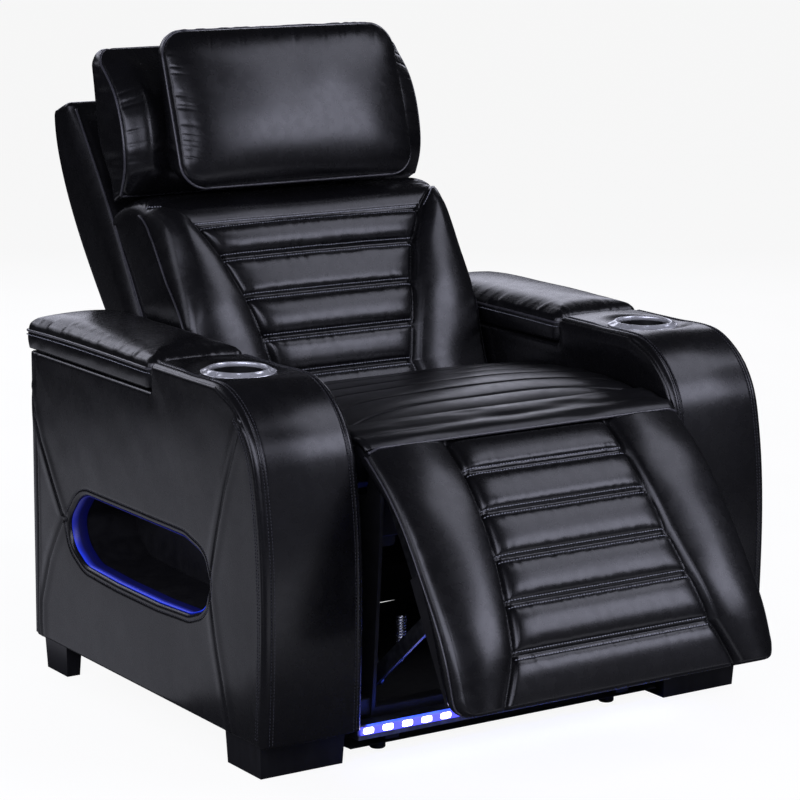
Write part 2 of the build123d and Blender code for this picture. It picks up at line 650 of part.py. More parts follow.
# -------------------------------------------------------------------- crank
with BuildPart() as crank_arms:
    for sx in (-1, 1):
        x0 = CRANK_X[0] if sx > 0 else -CRANK_X[1]
        with BuildSketch(side(x0)) as crank_section:
            with Locations(F):
                Circle(17)
            with Locations(K0):
                Circle(12)
            make_hull()
            with Locations(K0):
                Circle(6 + PIN_FIT, mode=Mode.SUBTRACT)
        extrude(amount=6)
        with BuildSketch(side(CRANK_X[1] - 1 if sx > 0 else -PLATE_X[1] - 1)) as stub_shaft:
            with Locations(F):
                Circle(PIN_R)
        extrude(amount=25)
crank_arms.part.label = "crank_arms"
export_step(crank_arms.part, "parts/crank_arms.step")

with BuildPart() as torque_tube:
    with BuildSketch(side(-CRANK_X[0])) as torque_section:
        with Locations(F):
            Circle(12)
            Circle(9.5, mode=Mode.SUBTRACT)
    extrude(amount=2 * CRANK_X[0])
    with BuildSketch(side(FOOT_DRIVE_X - 14)) as drive_lever:
        with Locations(F):
            Circle(18)
        with Locations(FOOT_PIN):
            Circle(9)
        make_hull()
        with Locations(F):
            Circle(9.5, mode=Mode.SUBTRACT)
    extrude(amount=6)
    with BuildSketch(side(FOOT_DRIVE_X - 10)) as lever_pin:
        with Locations(FOOT_PIN):
            Circle(5)
    extrude(amount=17)
torque_tube.part.label = "torque_tube"
export_step(torque_tube.part, "parts/torque_tube.step")

# ------------------------------------------------------------------ coupler
LINK_L = math.hypot(B0[0] - K0[0], B0[1] - K0[1])
LINK_Y, LINK_Z = (B0[0] - K0[0]) / LINK_L, (B0[1] - K0[1]) / LINK_L
HOOKS = [(K0[0] + s * LINK_Y, K0[1] + s * LINK_Z) for s in (58.0, 140.0)]

with BuildPart() as coupler_links:
    for sx in (-1, 1):
        x0 = COUPLER_X[0] if sx > 0 else -COUPLER_X[1]
        with BuildSketch(side(x0)) as link_section:
            with Locations(K0, B0):
                Circle(12)
            make_hull()
            with Locations(B0):
                Circle(6.5, mode=Mode.SUBTRACT)
        extrude(amount=6)
        with BuildSketch(side(CRANK_X[0] - 2 if sx > 0 else -COUPLER_X[0] - 1)) as crank_pin:
            with Locations(K0):
                Circle(6)
        extrude(amount=11)
        with BuildSketch(side(211 if sx > 0 else -COUPLER_X[0] - 1)) as spring_posts:
            with Locations(*HOOKS):
                Circle(3)
        extrude(amount=20)
coupler_links.part.label = "coupler_links"
export_step(coupler_links.part, "parts/coupler_links.step")

COIL_R, COIL_WIRE, COIL_LEN = 7.0, 1.3, 66.0
with BuildPart() as coupler_springs:
    for sx in (-1, 1):
        start = (sx * 217.0, K0[0] + (99 - COIL_LEN / 2) * LINK_Y - Y0,
                 K0[1] + (99 - COIL_LEN / 2) * LINK_Z)
        coil_plane = Plane(origin=start, x_dir=(1, 0, 0), z_dir=(0, LINK_Y, LINK_Z))
        with BuildLine(coil_plane) as coil_path:
            Helix(pitch=4.4, height=COIL_LEN, radius=COIL_R)
        with BuildSketch(Plane(origin=coil_path.line @ 0, z_dir=coil_path.line % 0)) as coil_cut:
            Circle(COIL_WIRE)
        sweep(path=coil_path.line, is_frenet=True)
coupler_springs.part.label = "coupler_springs"
export_step(coupler_springs.part, "parts/coupler_springs.step")

# ===================================================================== back
SHELL = [(524, 340), (616, 340), (802, 569), (872, 657), (952, 786), (981, 888), (976, 903),
         (952, 911), (925, 908), (867, 847), (780, 733), (720, 643), (680, 580), (566, 400)]

with BuildPart() as back_outer_panel:
    with BuildSketch(side(-288)) as shell_section:
        with BuildLine():
            Polyline(*SHELL, close=True)
        make_face()
        fillet(shell_section.vertices().sort_by(Axis.Z)[-4:], 6)
    extrude(amount=576)
    with BuildSketch(side(-262)) as shell_hollow:
        with BuildLine():
            Polyline((490, 330), (579, 330), (765, 569), (835, 657), (912, 786), (930, 850),
                     (900, 862), (868, 850), (770, 722), (660, 560), (500, 372), close=True)
        make_face()
    extrude(amount=524, mode=Mode.SUBTRACT)
back_outer_panel.part.label = "back_outer_panel"
export_step(back_outer_panel.part, "parts/back_outer_panel.step")

with BuildPart() as back_cushion:
    with BuildSketch(side(-BACK_HW)) as back_section:
        with BuildLine():
            front = Spline((474, 427), (482, 455), (506, 517), (538, 606), (579, 680),
                           (612, 729), (652, 759), (690, 767), (717, 761), (758, 743),
                           (772, 731))
            Polyline(front @ 1, (774, 728), (716, 641), (676, 578), (581, 427), (474, 427))
        make_face()
    extrude(amount=2 * BACK_HW)
back_cushion.part.label = "back_cushion"
export_step(back_cushion.part, "parts/back_cushion.step")

UP_A, UP_B = (592.0, 390.0), (868.0, 790.0)
with BuildPart() as back_uprights:
    for sx in (-1, 1):
        with BuildSketch(side(216 if sx > 0 else -237.7)) as upright_section:
            with Locations(UP_A, UP_B):
                Circle(14)
            make_hull()
        extrude(amount=21.7)
back_uprights.part.label = "back_uprights"
export_step(back_uprights.part, "parts/back_uprights.step")

UPPER_RAIL = (860.0, 782.0)
with BuildPart() as back_cross_rails:
    for y, z in (UP_A, UPPER_RAIL):
        with BuildSketch(side(-216)) as rail_ring:
            with Locations((y, z)):
                Circle(11)
                Circle(9, mode=Mode.SUBTRACT)
        extrude(amount=432)
    for x0 in (-155, 149):
        with BuildSketch(side(x0)) as lug_section:
            with Locations(UPPER_RAIL):
                Circle(15)
            with Locations(H):
                Circle(12)
            make_hull()
            with Locations(H):
                Circle(PIN_R + PIN_FIT, mode=Mode.SUBTRACT)
            with Locations(UPPER_RAIL):
                Circle(9, mode=Mode.SUBTRACT)
        extrude(amount=6)
back_cross_rails.part.label = "back_cross_rails"
export_step(back_cross_rails.part, "parts/back_cross_rails.step")

# hinge brackets at the sides, and the lever that the recline drive pushes
with BuildPart() as back_hinge_brackets:
    for sx in (-1, 1):
        with BuildSketch(side(BRACKET_X[0] if sx > 0 else -BRACKET_X[1])) as back_bracket:
            with Locations(P):
                Circle(15)
            with Locations((604, 400)):
                Circle(16)
            make_hull()
        extrude(amount=6)
        with BuildSketch(side(BRACKET_X[1] - 1 if sx > 0 else -PLATE_X[1] - 1)) as recline_pin:
            with Locations(P):
                Circle(PIN_R)
        extrude(amount=9)
    with BuildSketch(side(RECLINE_DRIVE_X + 8)) as recline_lever:
        with Locations(UP_A):
            Circle(16)
        with Locations(RECLINE_PIN):
            Circle(9)
        make_hull()
        with Locations(UP_A):
            Circle(11.1, mode=Mode.SUBTRACT)
    extrude(amount=6)
    with BuildSketch(side(RECLINE_DRIVE_X - 7)) as recline_lever_pin:
        with Locations(RECLINE_PIN):
            Circle(5)
    extrude(amount=17)
back_hinge_brackets.part.label = "back_hinge_brackets"
export_step(back_hinge_brackets.part, "parts/back_hinge_brackets.step")

# ===================================================================== head
UY, UZ = math.sin(math.radians(BACK_TILT)), math.cos(math.radians(BACK_TILT))
HEAD_PIN = (H[0] + HEAD_LEVER_R * UZ, H[1] - HEAD_LEVER_R * UY)
HEAD_DRIVE_X = 8.0


def drive_plane(s):
    """Plane across the head drive, s below the lever pin, facing up the back."""
    return Plane(origin=(HEAD_DRIVE_X, HEAD_PIN[0] - s * UY - Y0, HEAD_PIN[1] - s * UZ),
                 x_dir=(1, 0, 0), z_dir=(0, UY, UZ))


with BuildPart() as head_motor:
    with BuildSketch(drive_plane(290)) as head_tube:
        Circle(11)
        Circle(6 + ROD_FIT, mode=Mode.SUBTRACT)
    extrude(amount=150)
    with BuildSketch(drive_plane(400)) as head_gearbox:
        RectangleRounded(44, 26, 6)
    extrude(amount=110)
head_motor.part.label = "head_motor"
export_step(head_motor.part, "parts/head_motor.step")

with BuildPart() as head_rod:
    with BuildSketch(drive_plane(250)) as head_rod_section:
        Circle(6)
    extrude(amount=240)
    with BuildSketch(Plane(origin=(HEAD_DRIVE_X - 3, HEAD_PIN[0] - Y0, HEAD_PIN[1]),
                           x_dir=(0, UZ, -UY), z_dir=(1, 0, 0))) as head_fork:
        RectangleRounded(26, 22, 4)
        SlotOverall(15, 10, mode=Mode.SUBTRACT)
    extrude(amount=6)
head_rod.part.label = "head_rod"
export_step(head_rod.part, "parts/head_rod.step")

with BuildPart() as head_bracket:
    with BuildSketch(side(-163)) as head_shaft:
        with Locations(H):
            Circle(PIN_R)
    extrude(amount=326)
    for x0 in (-162, 156):
        with BuildSketch(side(x0)) as head_strap:
            with BuildLine():
                Polyline((779, 782), (782, 800), (812, 839), (836, 928), (850, 928),
                         (830, 838), (800, 792), (797, 776), close=True)
            make_face()
            with Locations(H):
                Circle(12)
        extrude(amount=6)
    with BuildSketch(side(-6)) as head_lever:
        with Locations(H):
            Circle(12)
        with Locations(HEAD_PIN):
            Circle(7)
        make_hull()
    extrude(amount=6)
    with BuildSketch(side(-1)) as head_lever_pin:
        with Locations(HEAD_PIN):
            Circle(4)
    extrude(amount=14)
head_bracket.part.label = "head_bracket"
export_step(head_bracket.part, "parts/head_bracket.step")

with BuildPart() as head_block:
    with BuildSketch(side(-288)) as block_section:
        with BuildLine():
            Polyline((733, 772), (721, 803), (726, 878), (758, 946), (808, 994), (826, 1001),
                     (838, 994), (827, 927), (803, 839), (774, 801), (765, 760), close=True)
        make_face()
        fillet(block_section.vertices().filter_by(lambda v: v.Z < 950), 8)
    extrude(amount=576)
head_block.part.label = "head_block"
export_step(head_block.part, "parts/head_block.step")

with BuildPart() as head_pillow:
    with BuildSketch(side(-218)) as pillow_section:
        with BuildLine():
            Spline((646, 797), (634, 806), (634, 822), (655, 896), (690, 980), (712, 1028),
                   (724, 1040), (742, 1036), (748, 1020))
            Polyline((748, 1020), (734, 935), (715, 880), (712, 806), (702, 797), (646, 797))
        make_face()
    extrude(amount=436)
head_pillow.part.label = "head_pillow"
export_step(head_pillow.part, "parts/head_pillow.step")
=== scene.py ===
import math

import bmesh
import bpy
import numpy as np
from mathutils import Matrix, Vector


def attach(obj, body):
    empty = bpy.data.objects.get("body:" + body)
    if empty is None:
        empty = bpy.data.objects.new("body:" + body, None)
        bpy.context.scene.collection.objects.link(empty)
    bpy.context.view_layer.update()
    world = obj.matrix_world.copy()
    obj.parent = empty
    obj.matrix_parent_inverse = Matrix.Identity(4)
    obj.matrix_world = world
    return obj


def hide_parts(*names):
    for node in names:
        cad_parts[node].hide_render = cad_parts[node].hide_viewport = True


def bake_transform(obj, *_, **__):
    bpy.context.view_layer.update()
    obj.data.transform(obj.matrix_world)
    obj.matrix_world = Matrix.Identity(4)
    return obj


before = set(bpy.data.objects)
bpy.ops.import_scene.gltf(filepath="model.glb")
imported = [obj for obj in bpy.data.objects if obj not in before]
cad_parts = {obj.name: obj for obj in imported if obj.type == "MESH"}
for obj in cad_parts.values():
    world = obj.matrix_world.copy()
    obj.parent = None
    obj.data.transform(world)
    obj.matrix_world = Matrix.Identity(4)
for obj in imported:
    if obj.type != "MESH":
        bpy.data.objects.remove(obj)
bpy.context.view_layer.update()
rng = np.random.default_rng(7)

Y0 = 361.0                      # section origin to the middle of the depth, mm


# ------------------------------------------------------------------ camera
def put_camera():
    az, el, roll = math.radians(-33.78), math.radians(11.59), math.radians(0.44)
    back = Vector((math.sin(az) * math.cos(el), -math.cos(az) * math.cos(el), math.sin(el)))
    pos = Vector((-0.22761, 0.0, 0.55260)) + back * 4.39125
    pos.y -= Y0 / 1000
    fwd = -back
    right = fwd.cross(Vector((0, 0, 1))).normalized()
    up = right.cross(fwd).normalized()
    r2 = right * math.cos(roll) + up * math.sin(roll)
    u2 = -right * math.sin(roll) + up * math.cos(roll)
    cam = bpy.data.cameras.new("camera")
    cam.sensor_width = 36.0
    cam.sensor_fit = 'AUTO'
    cam.lens = 2988.74 / 800 * 36
    cam.clip_end = 60
    ob = bpy.data.objects.new("camera", cam)
    bpy.context.collection.objects.link(ob)
    m = Matrix((r2, u2, back)).transposed().to_4x4()
    m.translation = pos
    ob.matrix_world = m
    bpy.context.scene.camera = ob


put_camera()


# --------------------------------------------------------------- materials
def new_material(name):
    m = bpy.data.materials.new(name)
    m.use_nodes = True
    nt = m.node_tree
    nt.nodes.clear()
    out = nt.nodes.new("ShaderNodeOutputMaterial")
    bs = nt.nodes.new("ShaderNodeBsdfPrincipled")
    nt.links.new(bs.outputs[0], out.inputs[0])
    return m, nt, bs


def nodes_for(nt, kind, **kw):
    n = nt.nodes.new(kind)
    for k, v in kw.items():
        if k in n.inputs:
            n.inputs[k].default_value = v
        else:
            setattr(n, k, v)
    return n


def ramp(nt, src, stops):
    r = nt.nodes.new("ShaderNodeValToRGB")
    cr = r.color_ramp
    cr.elements[0].position, cr.elements[0].color = stops[0][0], (*stops[0][1], 1)
    cr.elements[1].position, cr.elements[1].color = stops[-1][0], (*stops[-1][1], 1)
    for p, c in stops[1:-1]:
        e = cr.elements.new(p)
        e.color = (*c, 1)
    nt.links.new(src, r.inputs[0])
    return r.outputs[0]


def leather(name, tone=0.006, rough=(0.245, 0.30), grain=1.0, coat=0.12):
    """Glossy pigmented leather: pore grain, soft creases, uneven sheen."""
    m, nt, bs = new_material(name)
    tc = nt.nodes.new("ShaderNodeTexCoord")
    obj = tc.outputs["Object"]
    big = nodes_for(nt, "ShaderNodeTexNoise", Scale=9.0, Detail=4.0, Roughness=0.6)
    mid = nodes_for(nt, "ShaderNodeTexNoise", Scale=55.0, Detail=2.5, Roughness=0.5)
    pores = nodes_for(nt, "ShaderNodeTexVoronoi", Scale=520.0)
    fine = nodes_for(nt, "ShaderNodeTexNoise", Scale=900.0, Detail=1.0)
    for n in (big, mid, pores, fine):
        nt.links.new(obj, n.inputs["Vector"])
    t = tone
    nt.links.new(ramp(nt, big.outputs[0], [(0.3, (t * 0.78, t * 0.76, t * 0.86)),
                                           (0.55, (t, t * 0.98, t * 1.14)),
                                           (0.75, (t * 1.4, t * 1.38, t * 1.65))]),
                 bs.inputs["Base Color"])
    mr = nodes_for(nt, "ShaderNodeMapRange")
    mr.inputs["From Min"].default_value, mr.inputs["From Max"].default_value = 0.32, 0.7
    mr.inputs["To Min"].default_value, mr.inputs["To Max"].default_value = rough
    nt.links.new(mid.outputs[0], mr.inputs["Value"])
    nt.links.new(mr.outputs[0], bs.inputs["Roughness"])
    b1 = nodes_for(nt, "ShaderNodeBump", Strength=0.035 * grain, Distance=0.0002)
    b2 = nodes_for(nt, "ShaderNodeBump", Strength=0.02 * grain, Distance=0.0001)
    b3 = nodes_for(nt, "ShaderNodeBump", Strength=0.022 * grain, Distance=0.0005)
    nt.links.new(pores.outputs["Distance"], b1.inputs["Height"])
    nt.links.new(fine.outputs[0], b2.inputs["Height"])
    nt.links.new(mid.outputs[0], b3.inputs["Height"])
    nt.links.new(b3.outputs[0], b1.inputs["Normal"])
    nt.links.new(b1.outputs[0], b2.inputs["Normal"])
    nt.links.new(b2.outputs[0], bs.inputs["Normal"])
    bs.inputs["Coat Weight"].default_value = coat
    bs.inputs["Coat Roughness"].default_value = 0.2
    bs.inputs["Specular IOR Level"].default_value = 0.5
    return m


def simple(name, color, rough, metal=0.0, var=0.25, scale=40.0, bump=0.1, bump_scale=300.0,
           bump_dist=0.0003, coat=0.0, stretch=None):
    """Hard surface with uneven tone, fine texture and soft wear."""
    m, nt, bs = new_material(name)
    tc = nt.nodes.new("ShaderNodeTexCoord")
    mp = nt.nodes.new("ShaderNodeMapping")
    nt.links.new(tc.outputs["Object"], mp.inputs["Vector"])
    if stretch:
        mp.inputs["Scale"].default_value = stretch
    n1 = nodes_for(nt, "ShaderNodeTexNoise", Scale=scale, Detail=5.0, Roughness=0.6)
    n2 = nodes_for(nt, "ShaderNodeTexNoise", Scale=bump_scale, Detail=3.0)
    nt.links.new(mp.outputs[0], n1.inputs["Vector"])
    nt.links.new(mp.outputs[0], n2.inputs["Vector"])
    lo = tuple(c * (1 - var) for c in color)
    hi = tuple(min(1, c * (1 + var)) for c in color)
    nt.links.new(ramp(nt, n1.outputs[0], [(0.3, lo), (0.7, hi)]), bs.inputs["Base Color"])
    mr = nodes_for(nt, "ShaderNodeMapRange")
    mr.inputs["To Min"].default_value = max(0.02, rough * 0.75)
    mr.inputs["To Max"].default_value = min(1, rough * 1.3)
    nt.links.new(n1.outputs[0], mr.inputs["Value"])
    nt.links.new(mr.outputs[0], bs.inputs["Roughness"])
    b = nodes_for(nt, "ShaderNodeBump", Strength=bump, Distance=bump_dist)
    nt.links.new(n2.outputs[0], b.inputs["Height"])
    nt.links.new(b.outputs[0], bs.inputs["Normal"])
    bs.inputs["Metallic"].default_value = metal
    bs.inputs["Coat Weight"].default_value = coat
    return m


def glow(name, color, strength, scale=55.0):
    m, nt, bs = new_material(name)
    tc = nt.nodes.new("ShaderNodeTexCoord")
    n = nodes_for(nt, "ShaderNodeTexNoise", Scale=scale, Detail=2.0)
    nt.links.new(tc.outputs["Object"], n.inputs["Vector"])
    lo = tuple(c * 0.8 for c in color)
    nt.links.new(ramp(nt, n.outputs[0], [(0.3, lo), (0.7, color)]), bs.inputs["Emission Color"])
    bs.inputs["Emission Strength"].default_value = strength
    bs.inputs["Base Color"].default_value = (0.02, 0.02, 0.03, 1)
    bs.inputs["Roughness"].default_value = 0.35
    return m


def pocket_glow(name):
    """Light from the strip behind the pocket rim: strong low down, fading up and inwards."""
    m, nt, bs = new_material(name)
    tc = nt.nodes.new("ShaderNodeTexCoord")
    sep = nt.nodes.new("ShaderNodeSeparateXYZ")
    nt.links.new(tc.outputs["Object"], sep.inputs[0])
    ab = nodes_for(nt, "ShaderNodeMath", operation='ABSOLUTE')
    nt.links.new(sep.outputs["X"], ab.inputs[0])
    dx = nodes_for(nt, "ShaderNodeMapRange")
    dx.inputs["From Min"].default_value, dx.inputs["From Max"].default_value = 0.454, 0.467
    dx.inputs["To Min"].default_value, dx.inputs["To Max"].default_value = 0.05, 1.0
    nt.links.new(ab.outputs[0], dx.inputs["Value"])
    dz = nodes_for(nt, "ShaderNodeMapRange")
    dz.inputs["From Min"].default_value, dz.inputs["From Max"].default_value = 0.32, 0.23
    dz.inputs["To Min"].default_value, dz.inputs["To Max"].default_value = 0.22, 1.0
    nt.links.new(sep.outputs["Z"], dz.inputs["Value"])
    n = nodes_for(nt, "ShaderNodeTexNoise", Scale=38.0, Detail=2.0)
    nt.links.new(tc.outputs["Object"], n.inputs["Vector"])
    mu = nodes_for(nt, "ShaderNodeMath", operation='MULTIPLY')
    nt.links.new(dx.outputs[0], mu.inputs[0])
    nt.links.new(dz.outputs[0], mu.inputs[1])
    mu2 = nodes_for(nt, "ShaderNodeMath", operation='MULTIPLY')
    nt.links.new(mu.outputs[0], mu2.inputs[0])
    nr = nodes_for(nt, "ShaderNodeMapRange")
    nr.inputs["To Min"].default_value, nr.inputs["To Max"].default_value = 0.75, 1.15
    nt.links.new(n.outputs[0], nr.inputs["Value"])
    nt.links.new(nr.outputs[0], mu2.inputs[1])
    nt.links.new(ramp(nt, mu2.outputs[0], [(0.0, (0.001, 0.001, 0.02)), (0.45, (0.006, 0.012, 0.28)),
                                           (1.0, (0.012, 0.05, 1.0))]), bs.inputs["Emission Color"])
    bs.inputs["Emission Strength"].default_value = 0.95
    bs.inputs["Base Color"].default_value = (0.01, 0.01, 0.012, 1)
    bs.inputs["Roughness"].default_value = 0.4
    return m


MAT = {
    "leather": leather("leather_black"),
    "leather_soft": leather("leather_black_soft", rough=(0.33, 0.40), grain=1.1),
    "gusset": leather("leather_black_gusset", tone=0.007, rough=(0.42, 0.6), coat=0.05),
    # piping tone is ten times the leather's: a painted highlight for the light the welts catch
    "piping": leather("leather_black_piping_painted_highlight", tone=0.06, rough=(0.24, 0.34), grain=0.5, coat=0.4),
    "board": leather("vinyl_board", tone=0.009, rough=(0.45, 0.62), coat=0.0),
    "thread": simple("thread_grey", (0.42, 0.43, 0.48), 0.5, var=0.3, scale=400, bump=0.5,
                     bump_scale=4000, bump_dist=0.0002),
    "thread_dark": simple("thread_black", (0.05, 0.05, 0.06), 0.5, var=0.3, scale=400, bump=0.5,
                          bump_scale=4000, bump_dist=0.0002),
    "chrome": simple("chrome_satin", (0.86, 0.87, 0.90), 0.26, metal=0.5, var=0.05, scale=30,
                     bump=0.02, bump_scale=900, coat=0.3),
    "chrome_dark": simple("chrome_shadow", (0.10, 0.10, 0.11), 0.25, metal=1.0, var=0.2),
    "cup": simple("cup_black", (0.010, 0.010, 0.011), 0.28, var=0.3, coat=0.3, bump=0.08),
    "felt": simple("felt_black", (0.016, 0.016, 0.02), 0.9, var=0.35, scale=120, bump=0.7,
                   bump_scale=1800, bump_dist=0.0008),
    "steel_black": simple("powder_black", (0.018, 0.018, 0.02), 0.42, metal=0.2, var=0.3, bump=0.3,
                          bump_scale=1400, bump_dist=0.0002),
    "zinc": simple("zinc_dark", (0.30, 0.31, 0.33), 0.34, metal=1.0, var=0.3, scale=90, bump=0.25,
                   bump_scale=600),
    "zinc_bright": simple("zinc_bright", (0.56, 0.57, 0.60), 0.25, metal=1.0, var=0.2, bump=0.1),
    "rod": simple("rod_steel", (0.55, 0.56, 0.58), 0.2, metal=1.0, var=0.12, bump=0.15,
                  stretch=(1, 0.05, 1)),
    "plastic": simple("plastic_black", (0.02, 0.02, 0.021), 0.5, var=0.2, bump=0.35,
                      bump_scale=1600, bump_dist=0.0003),
    "gloss": simple("plastic_gloss", (0.012, 0.012, 0.013), 0.16, var=0.2, coat=0.6, bump=0.03),
    "button": simple("button_satin", (0.045, 0.045, 0.05), 0.42, var=0.2, bump=0.15,
                     bump_scale=2200),
    "leg": simple("leg_lacquer", (0.014, 0.014, 0.016), 0.32, var=0.35, scale=60, bump=0.22,
                  bump_scale=260, stretch=(1, 1, 0.2)),
    "wood": simple("frame_wood", (0.33, 0.22, 0.12), 0.55, var=0.3, scale=30, bump=0.35,
                   bump_scale=200, stretch=(1, 0.08, 0.3)),
    "cloth": simple("cambric_black_and_painted_shade", (0.006, 0.006, 0.007), 0.85, var=0.3, scale=60, bump=0.6,
                    bump_scale=2200, bump_dist=0.0005),
    "led": glow("led_blue", (0.05, 0.10, 1.0), 9.0),
    "led_base": glow("led_tape", (0.07, 0.07, 1.0), 2.6, scale=90),
    "led_spot": glow("led_spot", (0.82, 0.74, 1.0), 9.0, scale=200),
    "led_pocket": pocket_glow("led_pocket"),
}


# ---------------------------------------------------------------- geometry
def W(p):
    """Section coordinates in mm to the frame in metres."""
    p = np.asarray(p, float)
    q = p / 1000.0
    q[..., 1] -= Y0 / 1000.0
    return q


def make(name, verts, faces, mat, body, smooth=True, mm=True):
    v = W(verts) if mm else np.asarray(verts)
    me = bpy.data.meshes.new(name)
    me.from_pydata([tuple(map(float, p)) for p in v], [], [tuple(map(int, f)) for f in faces])
    me.validate()
    bm = bmesh.new()
    bm.from_mesh(me)
    bmesh.ops.recalc_face_normals(bm, faces=bm.faces)
    bm.to_mesh(me)
    bm.free()
    if smooth:
        me.polygons.foreach_set("use_smooth", [True] * len(me.polygons))
    me.materials.append(MAT[mat])
    ob = bpy.data.objects.new(name, me)
    bpy.context.collection.objects.link(ob)
    if body:
        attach(ob, body)
    return ob


class Line2:
    """Natural cubic through section points, measured by its length in mm."""

    def __init__(self, pts, n=600):
        p = np.asarray(pts, float)
        d = np.r_[0, np.cumsum(np.hypot(*np.diff(p, axis=0).T))]
        tt = np.linspace(0, d[-1], n)
        q = np.stack([self._spline(d, p[:, k], tt) for k in (0, 1)], 1)
        s = np.r_[0, np.cumsum(np.hypot(*np.diff(q, axis=0).T))]
        self.s, self.q, self.L = s, q, s[-1]
        g = np.gradient(q, s, axis=0)
        self.g = g / np.hypot(g[:, 0], g[:, 1])[:, None]

    @staticmethod
    def _spline(x, y, xs):
        n = len(x)
        h = np.diff(x)
        a = np.zeros((n, n))
        b = np.zeros(n)
        a[0, 0] = a[-1, -1] = 1
        for i in range(1, n - 1):
            a[i, i - 1], a[i, i], a[i, i + 1] = h[i - 1], 2 * (h[i - 1] + h[i]), h[i]
            b[i] = 6 * ((y[i + 1] - y[i]) / h[i] - (y[i] - y[i - 1]) / h[i - 1])
        m = np.linalg.solve(a, b)
        i = np.clip(np.searchsorted(x, xs, side='right') - 1, 0, n - 2)
        u, v = x[i + 1] - xs, xs - x[i]
        return (m[i] * u**3 + m[i + 1] * v**3) / (6 * h[i]) + \
               (y[i] / h[i] - m[i] * h[i] / 6) * u + (y[i + 1] / h[i] - m[i + 1] * h[i] / 6) * v

    def at(self, s):
        s = np.asarray(s, float)
        return np.stack([np.interp(s, self.s, self.q[:, k]) for k in (0, 1)], -1)

    def tan(self, s):
        s = np.asarray(s, float)
        t = np.stack([np.interp(s, self.s, self.g[:, k]) for k in (0, 1)], -1)
        return t / np.linalg.norm(t, axis=-1, keepdims=True)

    def near(self, y, z):
        """Length along the line nearest to a section point."""
        return float(self.s[np.argmin((self.q[:, 0] - y)**2 + (self.q[:, 1] - z)**2)])


def smoothstep(a, b, x):
    t = np.clip((x - a) / (b - a), 0, 1)
    return t * t * (3 - 2 * t)


def groove(d, depth, width):
    return -depth * np.exp(-(d / width)**2)


def creases(n, width=0.22):
    """Thin folds where a smooth noise n crosses zero."""
    return np.exp(-(n / width)**2)


def softmin(a, b, k):
    h = np.clip(0.5 + 0.5 * (b - a) / k, 0, 1)
    return b * (1 - h) + a * h - k * h * (1 - h)


class Noise1:
    """Seeded smooth noise on a line."""

    def __init__(self, seed, step):
        self.v = np.random.default_rng(seed).uniform(-1, 1, 4096)
        self.step = step

    def __call__(self, x):
        u = np.asarray(x, float) / self.step + 1000
        i = np.floor(u).astype(int)
        f = u - i
        f = f * f * (3 - 2 * f)
        return self.v[i % 4096] * (1 - f) + self.v[(i + 1) % 4096] * f


class Noise2:
    def __init__(self, seed, sx, sy):
        self.v = np.random.default_rng(seed).uniform(-1, 1, (128, 128))
        self.sx, self.sy = sx, sy

    def __call__(self, x, y):
        u, v = np.asarray(x, float) / self.sx + 500, np.asarray(y, float) / self.sy + 500
        i, j = np.floor(u).astype(int), np.floor(v).astype(int)
        f, g = u - i, v - j
        f, g = f * f * (3 - 2 * f), g * g * (3 - 2 * g)
        a = self.v
        return (a[i % 128, j % 128] * (1 - f) + a[(i + 1) % 128, j % 128] * f) * (1 - g) + \
               (a[i % 128, (j + 1) % 128] * (1 - f) + a[(i + 1) % 128, (j + 1) % 128] * f) * g


